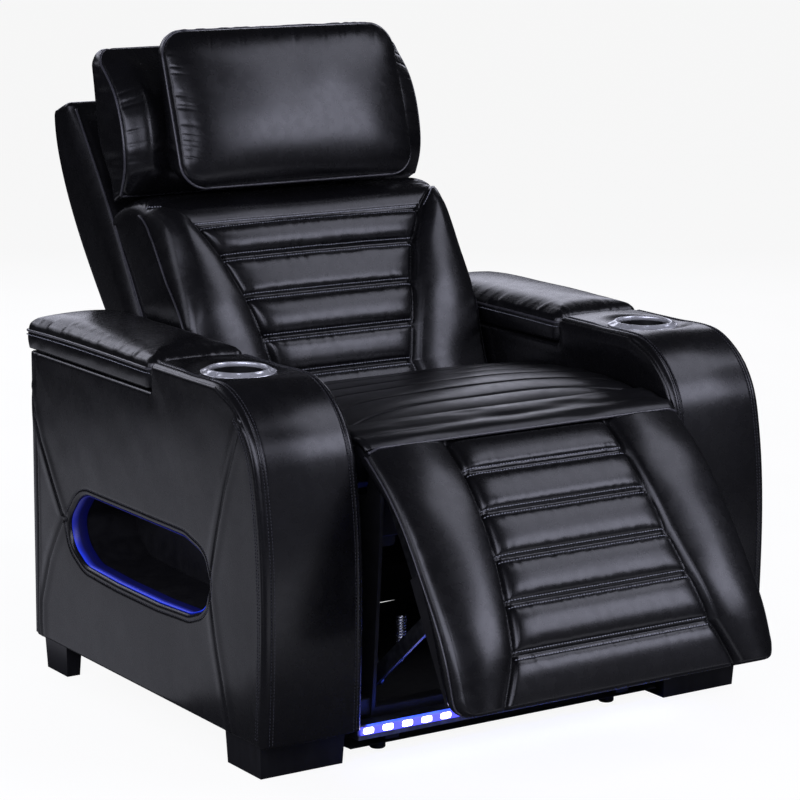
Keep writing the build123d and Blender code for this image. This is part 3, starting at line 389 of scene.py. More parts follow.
class Pad:
    """A stuffed form: front sheet over a profile, walls and a back sheet.

    sgn gives the side of the profile that the front faces: +1 to the left of
    the direction of travel. Heights and lengths are in mm.
    """

    def __init__(self, line, hw, height, sgn=1, edge=12.0, ends=(12.0, 12.0), cx=0.0):
        self.line, self.sgn, self.cx = line, sgn, cx
        self.hw = hw if callable(hw) else (lambda s, h=hw: np.full_like(np.asarray(s, float), h))
        self.height, self.edge, self.ends = height, edge, ends

    def base(self, s):
        c, t = self.line.at(s), self.line.tan(s)
        n = np.stack([-t[..., 1], t[..., 0]], -1) * self.sgn
        return c, t, n

    def lift(self, s, x):
        h = self.height(s, x)
        for d, r in ((self.hw(s) - np.abs(x), self.edge), (s, self.ends[0]),
                     (self.line.L - s, self.ends[1])):
            if r > 0:
                q = np.clip(1 - np.clip(d, 0, None) / r, 0, 1)
                h = h - r * 0.9 * (1 - np.sqrt(1 - q * q))
        return h

    def pos(self, s, x):
        s, x = np.broadcast_arrays(np.asarray(s, float), np.asarray(x, float))
        c, t, n = self.base(s)
        h = self.lift(s, x)
        p = c + n * h[..., None]
        return np.stack([x + self.cx, p[..., 0], p[..., 1]], -1)

    def frame_at(self, s, x, e=0.8):
        du = self.pos(s + e, x) - self.pos(s - e, x)
        dv = self.pos(s, x + e) - self.pos(s, x - e)
        n = np.cross(du, dv)
        n /= np.linalg.norm(n, axis=-1, keepdims=True) + 1e-12
        c, t, nn = self.base(np.broadcast_arrays(np.asarray(s, float), np.asarray(x, float))[0])
        want = np.stack([np.zeros_like(nn[..., 0]), nn[..., 0], nn[..., 1]], -1)
        n *= np.sign(np.sum(n * want, -1, keepdims=True) + 1e-12)
        return self.pos(s, x), n

    def mesh(self, name, mat, body, back, ns=170, nx=180, walls=6, bulge=4.0, inset=0.0,
             wall_fn=None, coarse=10):
        L = self.line.L
        u = np.linspace(0, 1, ns)
        S1 = L * (u - 0.055 * np.sin(2 * np.pi * u))
        v = np.linspace(-1, 1, nx)
        T1 = v + 0.035 * np.sin(np.pi * v)
        S, T = np.meshgrid(S1, T1, indexing='ij')
        X = self.hw(S) * T
        F = self.pos(S, X)
        c, t, n = self.base(S)
        bq = back(S)
        B = np.stack([X * (1 - inset / np.maximum(self.hw(S), 1)) + self.cx, bq[..., 0],
                      bq[..., 1]], -1)
        idx = [(0, j) for j in range(nx)] + [(i, nx - 1) for i in range(1, ns)] + \
              [(ns - 1, j) for j in range(nx - 2, -1, -1)] + [(i, 0) for i in range(ns - 2, 0, -1)]
        ii, jj = np.array(idx).T
        PF, PB = F[ii, jj], B[ii, jj]
        tang = np.roll(PF, -2, 0) - np.roll(PF, 2, 0)
        nrm = np.stack([np.zeros_like(n[..., 0]), n[..., 0], n[..., 1]], -1)[ii, jj]
        out = np.cross(tang, nrm)
        out /= np.linalg.norm(out, axis=1, keepdims=True) + 1e-12
        out *= np.sign(np.sum(out * (PF - PF.mean(0)), 1).sum())
        nF = ns * nx
        verts = [F.reshape(-1, 3)]
        faces = []
        q = np.arange(nF).reshape(ns, nx)
        quad = np.stack([q[:-1, :-1], q[:-1, 1:], q[1:, 1:], q[1:, :-1]], -1).reshape(-1, 4)
        faces += [tuple(f) for f in quad.tolist()]
        m = len(idx)
        ring = [q[ii, jj]]
        base = nF
        for k in range(1, walls + 1):
            w = k / walls
            p = PF * (1 - w) + PB * w + out * (bulge * math.sin(math.pi * w))
            if wall_fn is not None and k < walls:
                p = wall_fn(p, w, ii / (ns - 1), jj / (nx - 1), out)
            verts.append(p)
            ring.append(base + np.arange(m))
            base += m
        for a, b in zip(ring[:-1], ring[1:]):
            f = np.stack([a, b, np.roll(b, -1), np.roll(a, -1)], 1)
            faces += [tuple(g) for g in f.tolist()]
        where = {k: int(r) for k, r in zip(idx, ring[-1])}
        I = sorted(set(list(range(0, ns, coarse)) + [ns - 1]))
        J = sorted(set(list(range(0, nx, coarse)) + [nx - 1]))
        extra = []
        for i in I:
            for j in J:
                if (i, j) not in where:
                    where[(i, j)] = base + len(extra)
                    extra.append(B[i, j])
        if extra:
            verts.append(np.array(extra))
        for i0, i1 in zip(I[:-1], I[1:]):
            for j0, j1 in zip(J[:-1], J[1:]):
                poly = [(i0, j) for j in (range(j0, j1) if i0 == 0 else [j0])]
                poly += [(i, j1) for i in (range(i0, i1) if j1 == nx - 1 else [i0])]
                poly += [(i1, j) for j in (range(j1, j0, -1) if i1 == ns - 1 else [j1])]
                poly += [(i, j0) for i in (range(i1, i0, -1) if j0 == 0 else [i1])]
                faces.append(tuple(where[k] for k in poly))
        self.rim, self.rim_idx, self.rim_out, self.back_rim = PF, (ii, jj), out, PB
        return make(name, np.concatenate(verts), faces, mat, body)


def tube(pts, r, closed=False, sides=8, flat=1.0, normals=None):
    """Vertices and faces of a tube along points in mm."""
    p = np.asarray(pts, float)
    n = len(p)
    if closed:
        t = np.roll(p, -1, 0) - np.roll(p, 1, 0)
    else:
        t = np.gradient(p, axis=0)
    t /= np.linalg.norm(t, axis=1, keepdims=True) + 1e-12
    if normals is None:
        ref = np.array([0, 0, 1.0])
        nrm = np.zeros_like(p)
        prev = None
        for i in range(n):
            a = ref if prev is None else prev
            a = a - t[i] * np.dot(a, t[i])
            if np.linalg.norm(a) < 1e-3:
                a = np.cross(t[i], [1, 0, 0])
            prev = a / np.linalg.norm(a)
            nrm[i] = prev
    else:
        nrm = normals - t * np.sum(normals * t, 1, keepdims=True)
        nrm /= np.linalg.norm(nrm, axis=1, keepdims=True) + 1e-12
    bi = np.cross(t, nrm)
    verts, faces = [], []
    rr = np.broadcast_to(np.asarray(r, float), (n,))
    for k in range(sides):
        a = 2 * math.pi * k / sides
        verts.append(p + rr[:, None] * (nrm * math.cos(a) * flat + bi * math.sin(a)))
    V = np.stack(verts, 1).reshape(-1, 3)
    m = n if closed else n - 1
    for i in range(m):
        i2 = (i + 1) % n
        for k in range(sides):
            k2 = (k + 1) % sides
            faces.append((i * sides + k, i * sides + k2, i2 * sides + k2, i2 * sides + k))
    if not closed:
        faces.append(tuple(range(sides - 1, -1, -1)))
        faces.append(tuple((n - 1) * sides + k for k in range(sides)))
    return V, faces


class Bag:
    """Gathers many small meshes into one piece."""

    def __init__(self):
        self.v, self.f, self.n = [], [], 0

    def add(self, V, F):
        self.v.append(np.asarray(V, float))
        self.f += [tuple(i + self.n for i in f) for f in F]
        self.n += len(V)

    def make(self, name, mat, body, smooth=True):
        return make(name, np.concatenate(self.v), self.f, mat, body, smooth)


def resample(p, step):
    p = np.asarray(p, float)
    d = np.r_[0, np.cumsum(np.linalg.norm(np.diff(p, axis=0), axis=1))]
    n = max(2, int(round(d[-1] / step)) + 1)
    u = np.linspace(0, d[-1], n)
    return np.stack([np.interp(u, d, p[:, k]) for k in range(p.shape[1])], 1)


def stitch_row(bag, P, N, pitch=5.0, length=3.6, r=0.7, lift=0.5):
    """Stitches along a line of surface points P with normals N."""
    d = np.r_[0, np.cumsum(np.linalg.norm(np.diff(P, axis=0), axis=1))]
    k = int(d[-1] // pitch)
    for i in range(k):
        us = np.array([i * pitch + 0.5, i * pitch + 0.5 + length / 2, i * pitch + 0.5 + length])
        q = np.stack([np.interp(us, d, P[:, c]) for c in range(3)], 1)
        m = np.stack([np.interp(us, d, N[:, c]) for c in range(3)], 1)
        q = q + m * np.array([[-0.15], [lift + 0.15], [-0.15]])
        V, F = tube(q, [r * 0.6, r, r * 0.6], sides=5, normals=m)
        bag.add(V, F)


def seam_pair(bag, pad, S, X, off=3.2, pitch=5.0, step=2.0, sides=(1, -1), r=0.85):
    """Two rows of stitches, one each side of a seam given in (s, x)."""
    q = resample(np.stack([S, X], 1), step)
    t = np.gradient(q, axis=0)
    t /= np.linalg.norm(t, axis=1, keepdims=True) + 1e-12
    for sg in sides:
        a = q + sg * off * np.stack([-t[:, 1], t[:, 0]], 1)
        P, N = pad.frame_at(a[:, 0], a[:, 1])
        stitch_row(bag, P, N, pitch=pitch, r=r)


def welt(bag, P, r=2.0, closed=False, step=4.0):
    q = resample(np.vstack([P, P[:1]]) if closed else P, step)
    if closed:
        q = q[:-1]
    V, F = tube(q, r, closed=closed)
    bag.add(V, F)


def inner(s, x, hw, L, R):
    """Distance inside a rounded rectangle, mm."""
    qx = np.abs(x) - (hw - R)
    qs = np.abs(s - L / 2) - (L / 2 - R)
    out = np.hypot(np.maximum(qx, 0), np.maximum(qs, 0)) + np.minimum(np.maximum(qx, qs), 0)
    return R - out


def corner_hw(hw, L, r0, r1):
    """Half-width of a sheet whose corners are rounded by r0 at its start and r1 at its end."""
    def f(s):
        s = np.asarray(s, float)
        a = np.clip(1 - s / max(r0, 1e-6), 0, 1) if r0 else np.zeros_like(s)
        b = np.clip(1 - (L - s) / max(r1, 1e-6), 0, 1) if r1 else np.zeros_like(s)
        return hw - r0 * (1 - np.sqrt(1 - a * a)) - r1 * (1 - np.sqrt(1 - b * b))
    return f


def back_line(pts, L):
    """A back profile that runs beside a front of length L."""
    ln = Line2(pts)
    return lambda s: ln.at(np.asarray(s, float) / L * ln.L)


def under(line, sgn, depth):
    """The profile a depth behind a line, on the side away from its front."""
    def f(s):
        c, g = line.at(s), line.tan(s)
        return c - np.stack([-g[..., 1], g[..., 0]], -1) * sgn * depth
    return f


def dist_poly(S, X, pts, closed=False):
    """Distance of grid points to a polyline in the same plane."""
    pts = np.asarray(pts, float)
    if closed:
        pts = np.vstack([pts, pts[:1]])
    best = np.full(np.shape(S), 1e9)
    for (a0, a1), (b0, b1) in zip(pts[:-1], pts[1:]):
        d0, d1 = b0 - a0, b1 - a1
        t = np.clip(((S - a0) * d0 + (X - a1) * d1) / (d0 * d0 + d1 * d1 + 1e-9), 0, 1)
        best = np.minimum(best, np.hypot(S - a0 - t * d0, X - a1 - t * d1))
    return best


def puffs(s, rows, height, power=2.5, root=0.62):
    """Rounded channels between seam rows at the lengths in rows."""
    s = np.asarray(s, float)
    h = np.zeros_like(s)
    for a, b in zip(rows[:-1], rows[1:]):
        m = (s >= a) & (s <= b)
        t = np.clip((s - a) / (b - a), 0, 1)
        h = np.where(m, height * np.clip(1 - np.abs(2 * t - 1)**power, 0, 1)**root, h)
    return h


def bump_row(d, off=5.5, deep=2.6, wide=8.0, cut=1.2, cut_w=1.5):
    """A double-stitched row: a shallow valley with a cut under each line of stitches."""
    return -deep * np.exp(-(d / wide)**2) - cut * np.exp(-((np.abs(d) - off) / cut_w)**2)


# ============================================================== head pillow
pl = Line2([(640, 791), (664, 870), (690, 948), (714, 1020), (721, 1039)])
p_n1, p_n2, p_n3 = Noise1(31, 13), Noise1(32, 10), Noise2(33, 70, 90)


pillow_hw = corner_hw(224, pl.L, 42, 44)


def pillow_h(s, x):
    d = np.clip(inner(s, x, 224, pl.L, 44), 0, None)
    u, v = s / pl.L * 2 - 1, x / pillow_hw(s)
    h = 37 * np.clip(1 - np.abs(v)**2.6, 0, 1)**0.42 * np.clip(1 - np.abs(u)**2.5, 0, 1)**0.42
    h += 1.0 * p_n3(x, s) * smoothstep(0, 50, d)
    side, top = np.clip(224 - np.abs(x), 0, None), np.clip(pl.L - s, 0, None)
    on = smoothstep(0, 6, d)
    reach = 22 + 12 * p_n3(s * 2.3, x)
    h -= 0.8 * creases(p_n2(s + 0.3 * x), 0.3) * np.exp(-(side / reach)**2) * on
    h += 0.4 * p_n2(s * 0.7 + 400) * np.exp(-side / 20) * on
    h -= 0.9 * creases(p_n1(x - 0.3 * s), 0.3) * np.exp(-(top / (20 + 9 * p_n3(s, x * 2.1)))**2) * on
    return h


pillow = Pad(pl, pillow_hw, pillow_h, edge=2, ends=(2, 2))
w_n = Noise1(35, 9)


def pillow_wall(p, w, ui, vj, out):
    k = np.arange(len(p))
    a = 0.7 * math.sin(math.pi * w) * w_n(k * 1.3 + 5 * w)
    return p + out * a[:, None]


ob = pillow.mesh("head_pillow_soft", "leather", "head",
                 back_line([(702, 798), (716, 840), (717, 880), (727, 935), (736, 985), (744, 1037)],
                           pl.L), ns=200, nx=260, walls=9, bulge=4, wall_fn=pillow_wall, inset=8)
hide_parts("head_pillow")
bag = Bag()
welt(bag, pillow.rim + pillow.rim_out * 1.0, r=2.3, closed=True)
bag.make("head_pillow_piping", "piping", "head")

# =============================================================== head block
bl = Line2([(733, 772), (722, 803), (726, 878), (757, 946), (809, 999), (815, 1007)])
b_n1, b_n2, b_n3 = Noise1(41, 14), Noise1(42, 11), Noise2(43, 60, 80)


def block_h(s, x):
    d = np.clip(inner(s, x, 290, bl.L, 20), 0, None)
    h = 7 * np.sqrt(np.clip(1 - np.clip(1 - d / 22, 0, 1)**2, 0, 1))
    side = np.clip(290 - np.abs(x), 0, None)
    on = smoothstep(0, 6, d)
    h += 13.0 * np.exp(-((side - 42) / 30)**2) * smoothstep(0, 60, s) * smoothstep(0, 60, bl.L - s)
    reach = 38 + 20 * b_n3(s * 2.2, x + 30)
    h -= 1.1 * creases(b_n1(s * 1.15 + 0.12 * np.abs(x)), 0.42) * np.exp(-(side / reach)**2) * on
    h += 0.8 * b_n1(s * 0.6 + 300) * np.exp(-(side / 42)**2) * on
    top = np.clip(bl.L - s, 0, None)
    h -= 1.5 * creases(b_n2(x), 0.3) * np.exp(-(top / (26 + 12 * b_n3(s, x * 1.7)))**2) * on
    h += 1.0 * b_n3(x, s)
    return h


block = Pad(bl, corner_hw(290, bl.L, 2, 28), block_h, edge=3, ends=(3, 4))
wb_n = Noise1(45, 12)


def block_wall(p, w, ui, vj, out):
    k = np.arange(len(p))
    a = 1.2 * wb_n(k * 1.1 + 9 * w) + 5.0 * np.exp(-((ui - 0.32) / 0.24)**2) * (vj > 0.5) * \
        np.abs(2 * vj - 1)**8
    return p + out * (a * math.sin(math.pi * w))[:, None]


ob = block.mesh("head_block_soft", "leather", "head",
                back_line([(764, 760), (777, 801), (803, 838), (826, 925), (841, 1002)], bl.L),
                ns=230, nx=330, walls=9, bulge=3, wall_fn=block_wall, inset=2)
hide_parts("head_block")
bag = Bag()
welt(bag, block.rim + block.rim_out * 0.8, r=2.3, closed=True)
bag.make("head_block_piping", "piping", "head")

# ============================================================= back cushion
ba = Line2([(472, 430), (487, 457), (510, 517), (538, 606), (577, 680), (610, 729), (648, 759),
            (690, 768), (720, 763), (758, 746), (782, 731)])
row_pts = [(502, 494), (523, 554), (564, 614), (597, 675), (614, 733)]
row_s = [ba.near(y, z) for y, z in row_pts]
row_w = [133, 147, 166, 190, 221]
S1 = row_s[-1]
diag_s = ba.near(668, 764)
n_b = [Noise1(50 + k, 9) for k in range(6)]
n_bb = Noise2(57, 90, 90)


def panel_w(s):
    return np.interp(s, [0] + row_s + [ba.L], [150] + row_w + [221])


def back_h(s, x):
    s, x = np.broadcast_arrays(np.asarray(s, float), np.asarray(x, float))
    ax = np.abs(x)
    xp = panel_w(s)
    low = 1 - smoothstep(S1 - 2, S1 + 30, s)
    sink = 13 * np.exp(-((s - (row_s[2] + row_s[3]) / 2) / 62)**2) + 2
    # quilted middle
    edge = np.clip(xp - ax, 0, None)
    bow = 5.0 * (1 - (ax / 222)**2)
    h_mid = -sink + bow * low
    rows = [row_s[0] - 66] + row_s
    pinch = 1 - 0.85 * np.exp(-edge / 13)
    h_mid = h_mid + puffs(s, rows, 11.0) * pinch
    for k, rs in enumerate(row_s):
        d = s - rs
        h_mid = h_mid + bump_row(d, deep=2.4) * (0.55 + 0.45 * pinch)
        h_mid = h_mid + 0.75 * n_b[k](x) * np.exp(-np.abs(np.abs(d) - 6) / 7.0)
    # wedge bolsters
    width = np.clip(286 - xp, 20, None)
    q = np.clip((ax - xp) / width, 0, 1)
    h_bol = 2 + 15 * np.clip(np.sin(math.pi * np.clip(q, 0, 1)**0.85), 0, 1)**0.75
    h_bol += 1.5 * n_bb(x, s)
    m = smoothstep(-3.0, 3.0, ax - xp)
    h = h_mid * (1 - m) + h_bol * m
    h += groove(ax - xp, 6.0, 6.0)
    # rounded yoke over the top
    h_yoke = 5.0 * smoothstep(S1, S1 + 34, s) + 0.8 * n_bb(x + 40, s * 1.2)
    diag = dist_poly(s, ax, [(S1 + 1, 221), (diag_s, 288)])
    over = smoothstep(-5, 5, (s - S1) - (ax - 221) * (diag_s - S1) / 67.0)
    over = np.where(ax < 221, smoothstep(S1 - 1, S1 + 3, s), over)
    h = h * (1 - over) + h_yoke * over
    h = h + groove(diag, 3.0, 3.5) * (1 - smoothstep(268, 283, ax))
    h = h + bump_row(np.where(ax < 222, s - S1, 99), deep=3.0)
    fan = np.arctan2(s - diag_s + 6, np.abs(ax - 283) + 1e-6) * 60
    far = np.hypot(ax - 283, s - diag_s + 6)
    h -= 1.8 * creases(n_b[5](fan), 0.28) * np.exp(-(far / 42)**2) * smoothstep(3, 12, 285 - ax)
    return h


roll_s = [0] + [ba.near(y, z) for y, z in ((529, 583), (545, 618), (566, 660), (597, 711),
                                           (625, 742), (660, 763))] + [ba.L]
ROLL = [0, 3, 13, 25, 32, 32, 22, 4]
back_h0 = back_h


def back_h(s, x):
    s, x = np.broadcast_arrays(np.asarray(s, float), np.asarray(x, float))
    q = np.clip(1 - np.clip(285.5 - np.abs(x), 0, None) / 42.0, 0, 1)
    return back_h0(s, x) - np.interp(s, roll_s, ROLL) * (1 - np.sqrt(1 - q * q * 0.98))


back_pad = Pad(ba, 285.5, back_h, edge=15, ends=(8, 10))
ob = back_pad.mesh("back_cushion_soft", "leather", "back",
                   back_line([(575, 428), (600, 470), (672, 578), (712, 641), (752, 700),
                              (766, 722)], ba.L), ns=430, nx=400, walls=7, bulge=1.5)
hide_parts("back_cushion")
bag, thr = Bag(), Bag()
side_s = np.linspace(16, diag_s + 16, 130)
for sg in (-1, 1):
    P = back_pad.pos(side_s, np.full_like(side_s, sg * 285.3))
    welt(bag, P + np.array([sg * 1.0, -0.4, 0]), r=2.0)
    q = Line2([(600, 470), (672, 578), (712, 641), (752, 700), (764, 720)])
    q = q.at(np.linspace(0, q.L, 90))
    welt(bag, np.stack([np.full(len(q), sg * 285.8), q[:, 0], q[:, 1]], 1), r=1.6)
bag.make("back_side_piping", "piping", "back")
for rs, rw in zip(row_s, row_w):
    seam_pair(thr, back_pad, np.full(60, rs), np.linspace(-rw + 3, rw - 3, 60), off=5.6)
for sg in (-1, 1):
    seam_pair(thr, back_pad, np.linspace(S1 + 3, diag_s, 20), sg * np.linspace(223, 284, 20),
              off=4.0, sides=(1,))
thr.make("back_stitching", "thread", "back")

# ============================================================= seat cushion
se = Line2([(64, 500), (78, 504), (130, 512), (210, 514), (330, 505), (420, 492), (466, 478)])
pleats = [66, 122, 180, 240, 300, 360, 420]
n_s = Noise2(61, 70, 40)
n_s1 = [Noise1(62 + k, 16) for k in range(7)]


def seat_h(s, x):
    y = se.at(s)[..., 0]
    ax = np.abs(x)
    yl = y + 34 * (ax / 240.0)**3
    h = np.zeros_like(y)
    for a, b in zip(pleats[:-1], pleats[1:]):
        t = np.clip((yl - a) / (b - a), 0, 1)
        h = h + np.where((yl >= a) & (yl <= b), 2.0 * np.clip(1 - np.abs(2 * t - 1)**2.2, 0, 1)**0.8, 0)
    for k, a in enumerate(pleats):
        wob = yl - a - 2.0 * n_s1[k](x * 0.16)
        h = h + groove(wob, 1.5, 2.6) + 0.15 * n_s1[k](x * 0.9) * np.exp(-np.abs(wob) / 9)
    h = h + 6.0 * np.clip(1 - (ax / 289)**4, 0, 1) + 1.0 * n_s(x * 0.6, y * 0.6)
    return h - 4


seat = Pad(se, 289, seat_h, edge=22, ends=(4, 22))
ob = seat.mesh("seat_cushion_soft", "leather_soft", "base",
               back_line([(84, 405), (200, 405), (330, 405), (455, 405)], se.L),
               ns=330, nx=300, walls=6, bulge=-1.5)
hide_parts("seat_cushion")


# ============================================================ knee cover
def about_t(r, deg):
    a = math.radians(deg)
    return (28 + r * math.sin(a), 452 + r * math.cos(a))


kn = Line2([(74, 506.5), (60, 505), (44, 501.5), about_t(46.8, 6), about_t(47.2, -8),
            about_t(47.6, -22), about_t(47.6, -35), about_t(46.8, -44)])
n_k = Noise2(71, 60, 14)


def knee_h(s, x):
    ax = np.abs(x)
    return 2.0 * np.clip(1 - (ax / 289)**6, 0, 1) + 0.8 * n_k(x, s) * smoothstep(0, 14, s) - 1


knee = Pad(kn, 288.5, knee_h, sgn=-1, edge=9, ends=(2, 1))
ob = knee.mesh("seat_front_cover", "leather_soft", None, under(kn, -1, 2.6), ns=60, nx=200,
               walls=2, bulge=0)
knee_cover = ob


# =========================================================== footrest pad
fo = Line2([about_t(36, 40), about_t(37, 10), about_t(37.5, -18), about_t(40.5, -36),
            (-9, 477), (-54.7, 443), (-106, 392), (-151, 334), (-192, 277), (-229, 211),
            (-250, 152), (-254, 141)])
f_pts = [(-54.7, 443), (-106, 392), (-151, 334), (-192, 277), (-229, 211)]
f_s = [fo.near(y, z) for y, z in f_pts]
f_top = fo.near(*about_t(46.8, -44))
f_w = [149.5, 153, 158.5, 169, 182.6]
f_end = fo.near(-252, 146)
n_f = [Noise1(80 + k, 8) for k in range(6)]
n_ff = Noise2(87, 90, 90)


def foot_w(s):
    return np.interp(s, [0, f_top] + f_s + [f_end], [150, 150] + f_w + [212])


def foot_h(s, x):
    s, x = np.broadcast_arrays(np.asarray(s, float), np.asarray(x, float))
    ax = np.abs(x)
    xc = foot_w(s)
    on = smoothstep(f_top - 1, f_top + 10, s)
    edge = np.clip(xc - ax, 0, None)
    pinch = 1 - 0.8 * np.exp(-edge / 12)
    last = f_s[-1]
    h_mid = puffs(s, [f_top] + f_s, 10.5) * pinch
    t = np.clip((s - last) / (fo.L - last + 12), 0, 1)
    h_mid = h_mid + 8.5 * np.clip(1 - np.abs(2 * t - 1)**2.6, 0, 1)**0.8 * (0.4 + 0.6 * pinch) * (s > last)
    for k, rs in enumerate(f_s):
        h_mid = h_mid + bump_row(s - rs, deep=2.2) * (0.5 + 0.5 * pinch)
        h_mid = h_mid + 0.7 * n_f[k](x) * np.exp(-np.abs(np.abs(s - rs) - 6) / 7.0)
    width = np.clip(290 - xc, 20, None)
    q = np.clip((ax - xc) / width, 0, 1)
    h_bol = 3 + 13 * np.clip(np.sin(math.pi * q**0.9), 0, 1)**0.7 + 1.3 * n_ff(x, s)
    m = smoothstep(-3, 3, ax - xc)
    h = (h_mid * (1 - m) + h_bol * m + groove(ax - xc, 6.5, 5.5)) * on
    h = h + 0.25 * n_f[5](s * 0.5) * np.exp(-np.clip(290 - ax, 0, None) / 18) * on
    return h


def foot_hw(s):
    s = np.asarray(s, float)
    b = np.clip(1 - (fo.L - s) / 26.0, 0, 1)
    return 289.5 + 4.0 * smoothstep(f_s[1], fo.L, s) - 22 * (1 - np.sqrt(1 - b * b))


foot = Pad(fo, foot_hw, foot_h, sgn=-1,
           edge=12, ends=(2, 6))
ob = foot.mesh("footrest_pad_soft", "leather", "footrest",
               back_line([about_t(25, 40), about_t(24.5, 10), about_t(24, -18), about_t(24, -50),
                          (-15, 447), (-70, 412), (-117, 365), (-156, 307), (-190, 239),
                          (-222, 166), (-236, 139)], fo.L), ns=430, nx=400, walls=7, bulge=0.8)
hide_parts("footrest_pad")
bag, thr = Bag(), Bag()
xs = np.linspace(-288, 288, 150)
P, N = foot.frame_at(np.full_like(xs, f_top), xs)
rim = np.stack([xs, np.full_like(xs, about_t(49.6, -46)[0]), np.full_like(xs, about_t(49.6, -46)[1])], 1)
fall = smoothstep(268, 290, np.abs(xs)) * 6
rim[:, 2] -= fall
welt(bag, rim, r=2.4)
for sg in (-1, 1):
    ss = np.linspace(f_top + 4, fo.L - 6, 140)
    P = foot.pos(ss, sg * (foot.hw(ss) - 0.2))
    welt(bag, P + np.array([sg * 0.8, 0, 0]), r=1.6)
bag.make("footrest_piping", "piping", "footrest")
for rs, rw in zip(f_s, f_w):
    seam_pair(thr, foot, np.full(60, rs), np.linspace(-rw + 3, rw - 3, 60), off=5.6)
thr.make("footrest_stitching", "thread", "footrest")
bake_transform(bpy.data.objects["seat_front_cover"], "base", "footrest",
         start=W((0, about_t(47, 10)[0], about_t(47, 10)[1])).tolist(),
         end=W((0, about_t(47, -44)[0], about_t(47, -44)[1])).tolist())

# =========================================================== back shell
# outer cover of the back: rear face, sides and the lower edge
sh = Line2([(616, 340), (700, 444), (802, 569), (872, 657), (952, 786), (978, 872), (979, 893)])
n_sh = Noise2(91, 140, 160)


def shell_h(s, x):
    d = np.clip(inner(s, x, 288, sh.L, 14), 0, None)
    h = 4.0 * smoothstep(20, 140, s) + 3.0 * (1 - np.exp(-d / 30)) * smoothstep(0, 90, s) + 1.5 * n_sh(x, s) * smoothstep(0, 40, d)
    for xk in (-150, 150):
        h = h + groove(x - xk, 1.3, 2.2) + 0.5 * np.exp(-((np.abs(x - xk) - 6) / 3)**2)
    return h


shell = Pad(sh, 288, shell_h, sgn=-1, edge=13, ends=(10, 12))


def shell_wall(p, w, ui, vj, out):
    """The side rolls in towards its front edge."""
    return p + out * (11 * w - 11 * max(0.0, (w - 0.62) / 0.38)**2)


ob = shell.mesh("back_shell_cover", "leather", "back",
                back_line([(560, 356), (586, 404), (690, 575), (735, 645), (790, 730),
                           (862, 830), (918, 904)], sh.L), ns=220, nx=260, walls=20, bulge=1.0, inset=11,
                wall_fn=shell_wall)
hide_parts("back_outer_panel")
bag, thr = Bag(), Bag()
for sg in (-1, 1):
    q = Line2([(574, 382), (586, 404), (690, 575), (735, 645), (790, 730), (862, 830), (913, 899)])
    q = q.at(np.linspace(0, q.L, 150))
    welt(bag, np.stack([np.full(len(q), sg * 278.6), q[:, 0] - 0.5, q[:, 1]], 1), r=2.2)
bag.make("back_shell_piping", "piping", "back")
for xk in (-150, 150):
    seam_pair(thr, shell, np.linspace(14, sh.L - 14, 60), np.full(60, xk), off=4.0, pitch=6)
thr.make("back_shell_stitching", "thread", "back")

# ==================================================================== arms
FRONT = [(-8, 59), (-12.5, 150), (-14, 250), (-11.5, 330), (-5, 395), (3.5, 446), (15, 490),
         (34, 524), (60, 550), (84, 565), (110, 575), (140, 578), (180, 577.5), (250, 577),
         (316, 577)]
roll_line = Line2(FRONT)
prof = roll_line.at(np.linspace(0, roll_line.L, 220))
CUT = np.array([(548, 331), (592, 281), (580, 240), (536, 215), (430, 210), (300, 209),
                (204, 214), (155, 232), (138, 280), (162, 316), (218, 331)], float)
REAR_SEAM = [(711, 470), (700, 436), (681, 392), (608, 286), (594, 281), (608, 276), (655, 202),
             (685, 126), (688, 64)]
FRONT_SEAM = [(46, 546), (66, 494), (89, 438), (135, 292), (139, 280), (136, 258), (114, 173),
              (81, 62)]


def round_corners(poly, r, n=8):
    """Closed polygon with its corners rounded by r, mm."""
    p = np.asarray(poly, float)
    out = []
    for i in range(len(p)):
        a, b, c = p[i - 1], p[i], p[(i + 1) % len(p)]
        u, v = (a - b) / np.linalg.norm(a - b), (c - b) / np.linalg.norm(c - b)
        ang = math.acos(float(np.clip(u @ v, -1, 1)))
        d = r / math.tan(ang / 2)
        d = min(d, 0.45 * np.linalg.norm(a - b), 0.45 * np.linalg.norm(c - b))
        rr = d * math.tan(ang / 2)
        m = (u + v) / np.linalg.norm(u + v)
        o = b + m * rr / math.sin(ang / 2)
        s, e = b + u * d - o, b + v * d - o
        a0, a1 = math.atan2(s[1], s[0]), math.atan2(e[1], e[0])
        da = (a1 - a0 + math.pi) % (2 * math.pi) - math.pi
        for k in range(n + 1):
            t = a0 + da * k / n
            out.append(o + rr * np.array([math.cos(t), math.sin(t)]))
    return np.array(out)


POCKET = round_corners(CUT, 60, 10)


def ray_hit(c, ang, poly):
    """First crossing of rays from c with a closed polygon."""
    a = np.asarray(poly, float)
    b = np.roll(a, -1, 0)
    d = np.stack([np.cos(ang), np.sin(ang)], 1)
    best = np.full(len(ang), 1e9)
    for p, q in zip(a, b):
        e = q - p
        den = d[:, 0] * e[1] - d[:, 1] * e[0]
        den = np.where(np.abs(den) < 1e-12, 1e-12, den)
        w = p - c
        t = (w[0] * e[1] - w[1] * e[0]) / den
        u = (w[0] * d[:, 1] - w[1] * d[:, 0]) / den
        ok = (t > 1e-6) & (u >= -1e-6) & (u <= 1 + 1e-6)
        best = np.where(ok & (t < best), t, best)
    return best


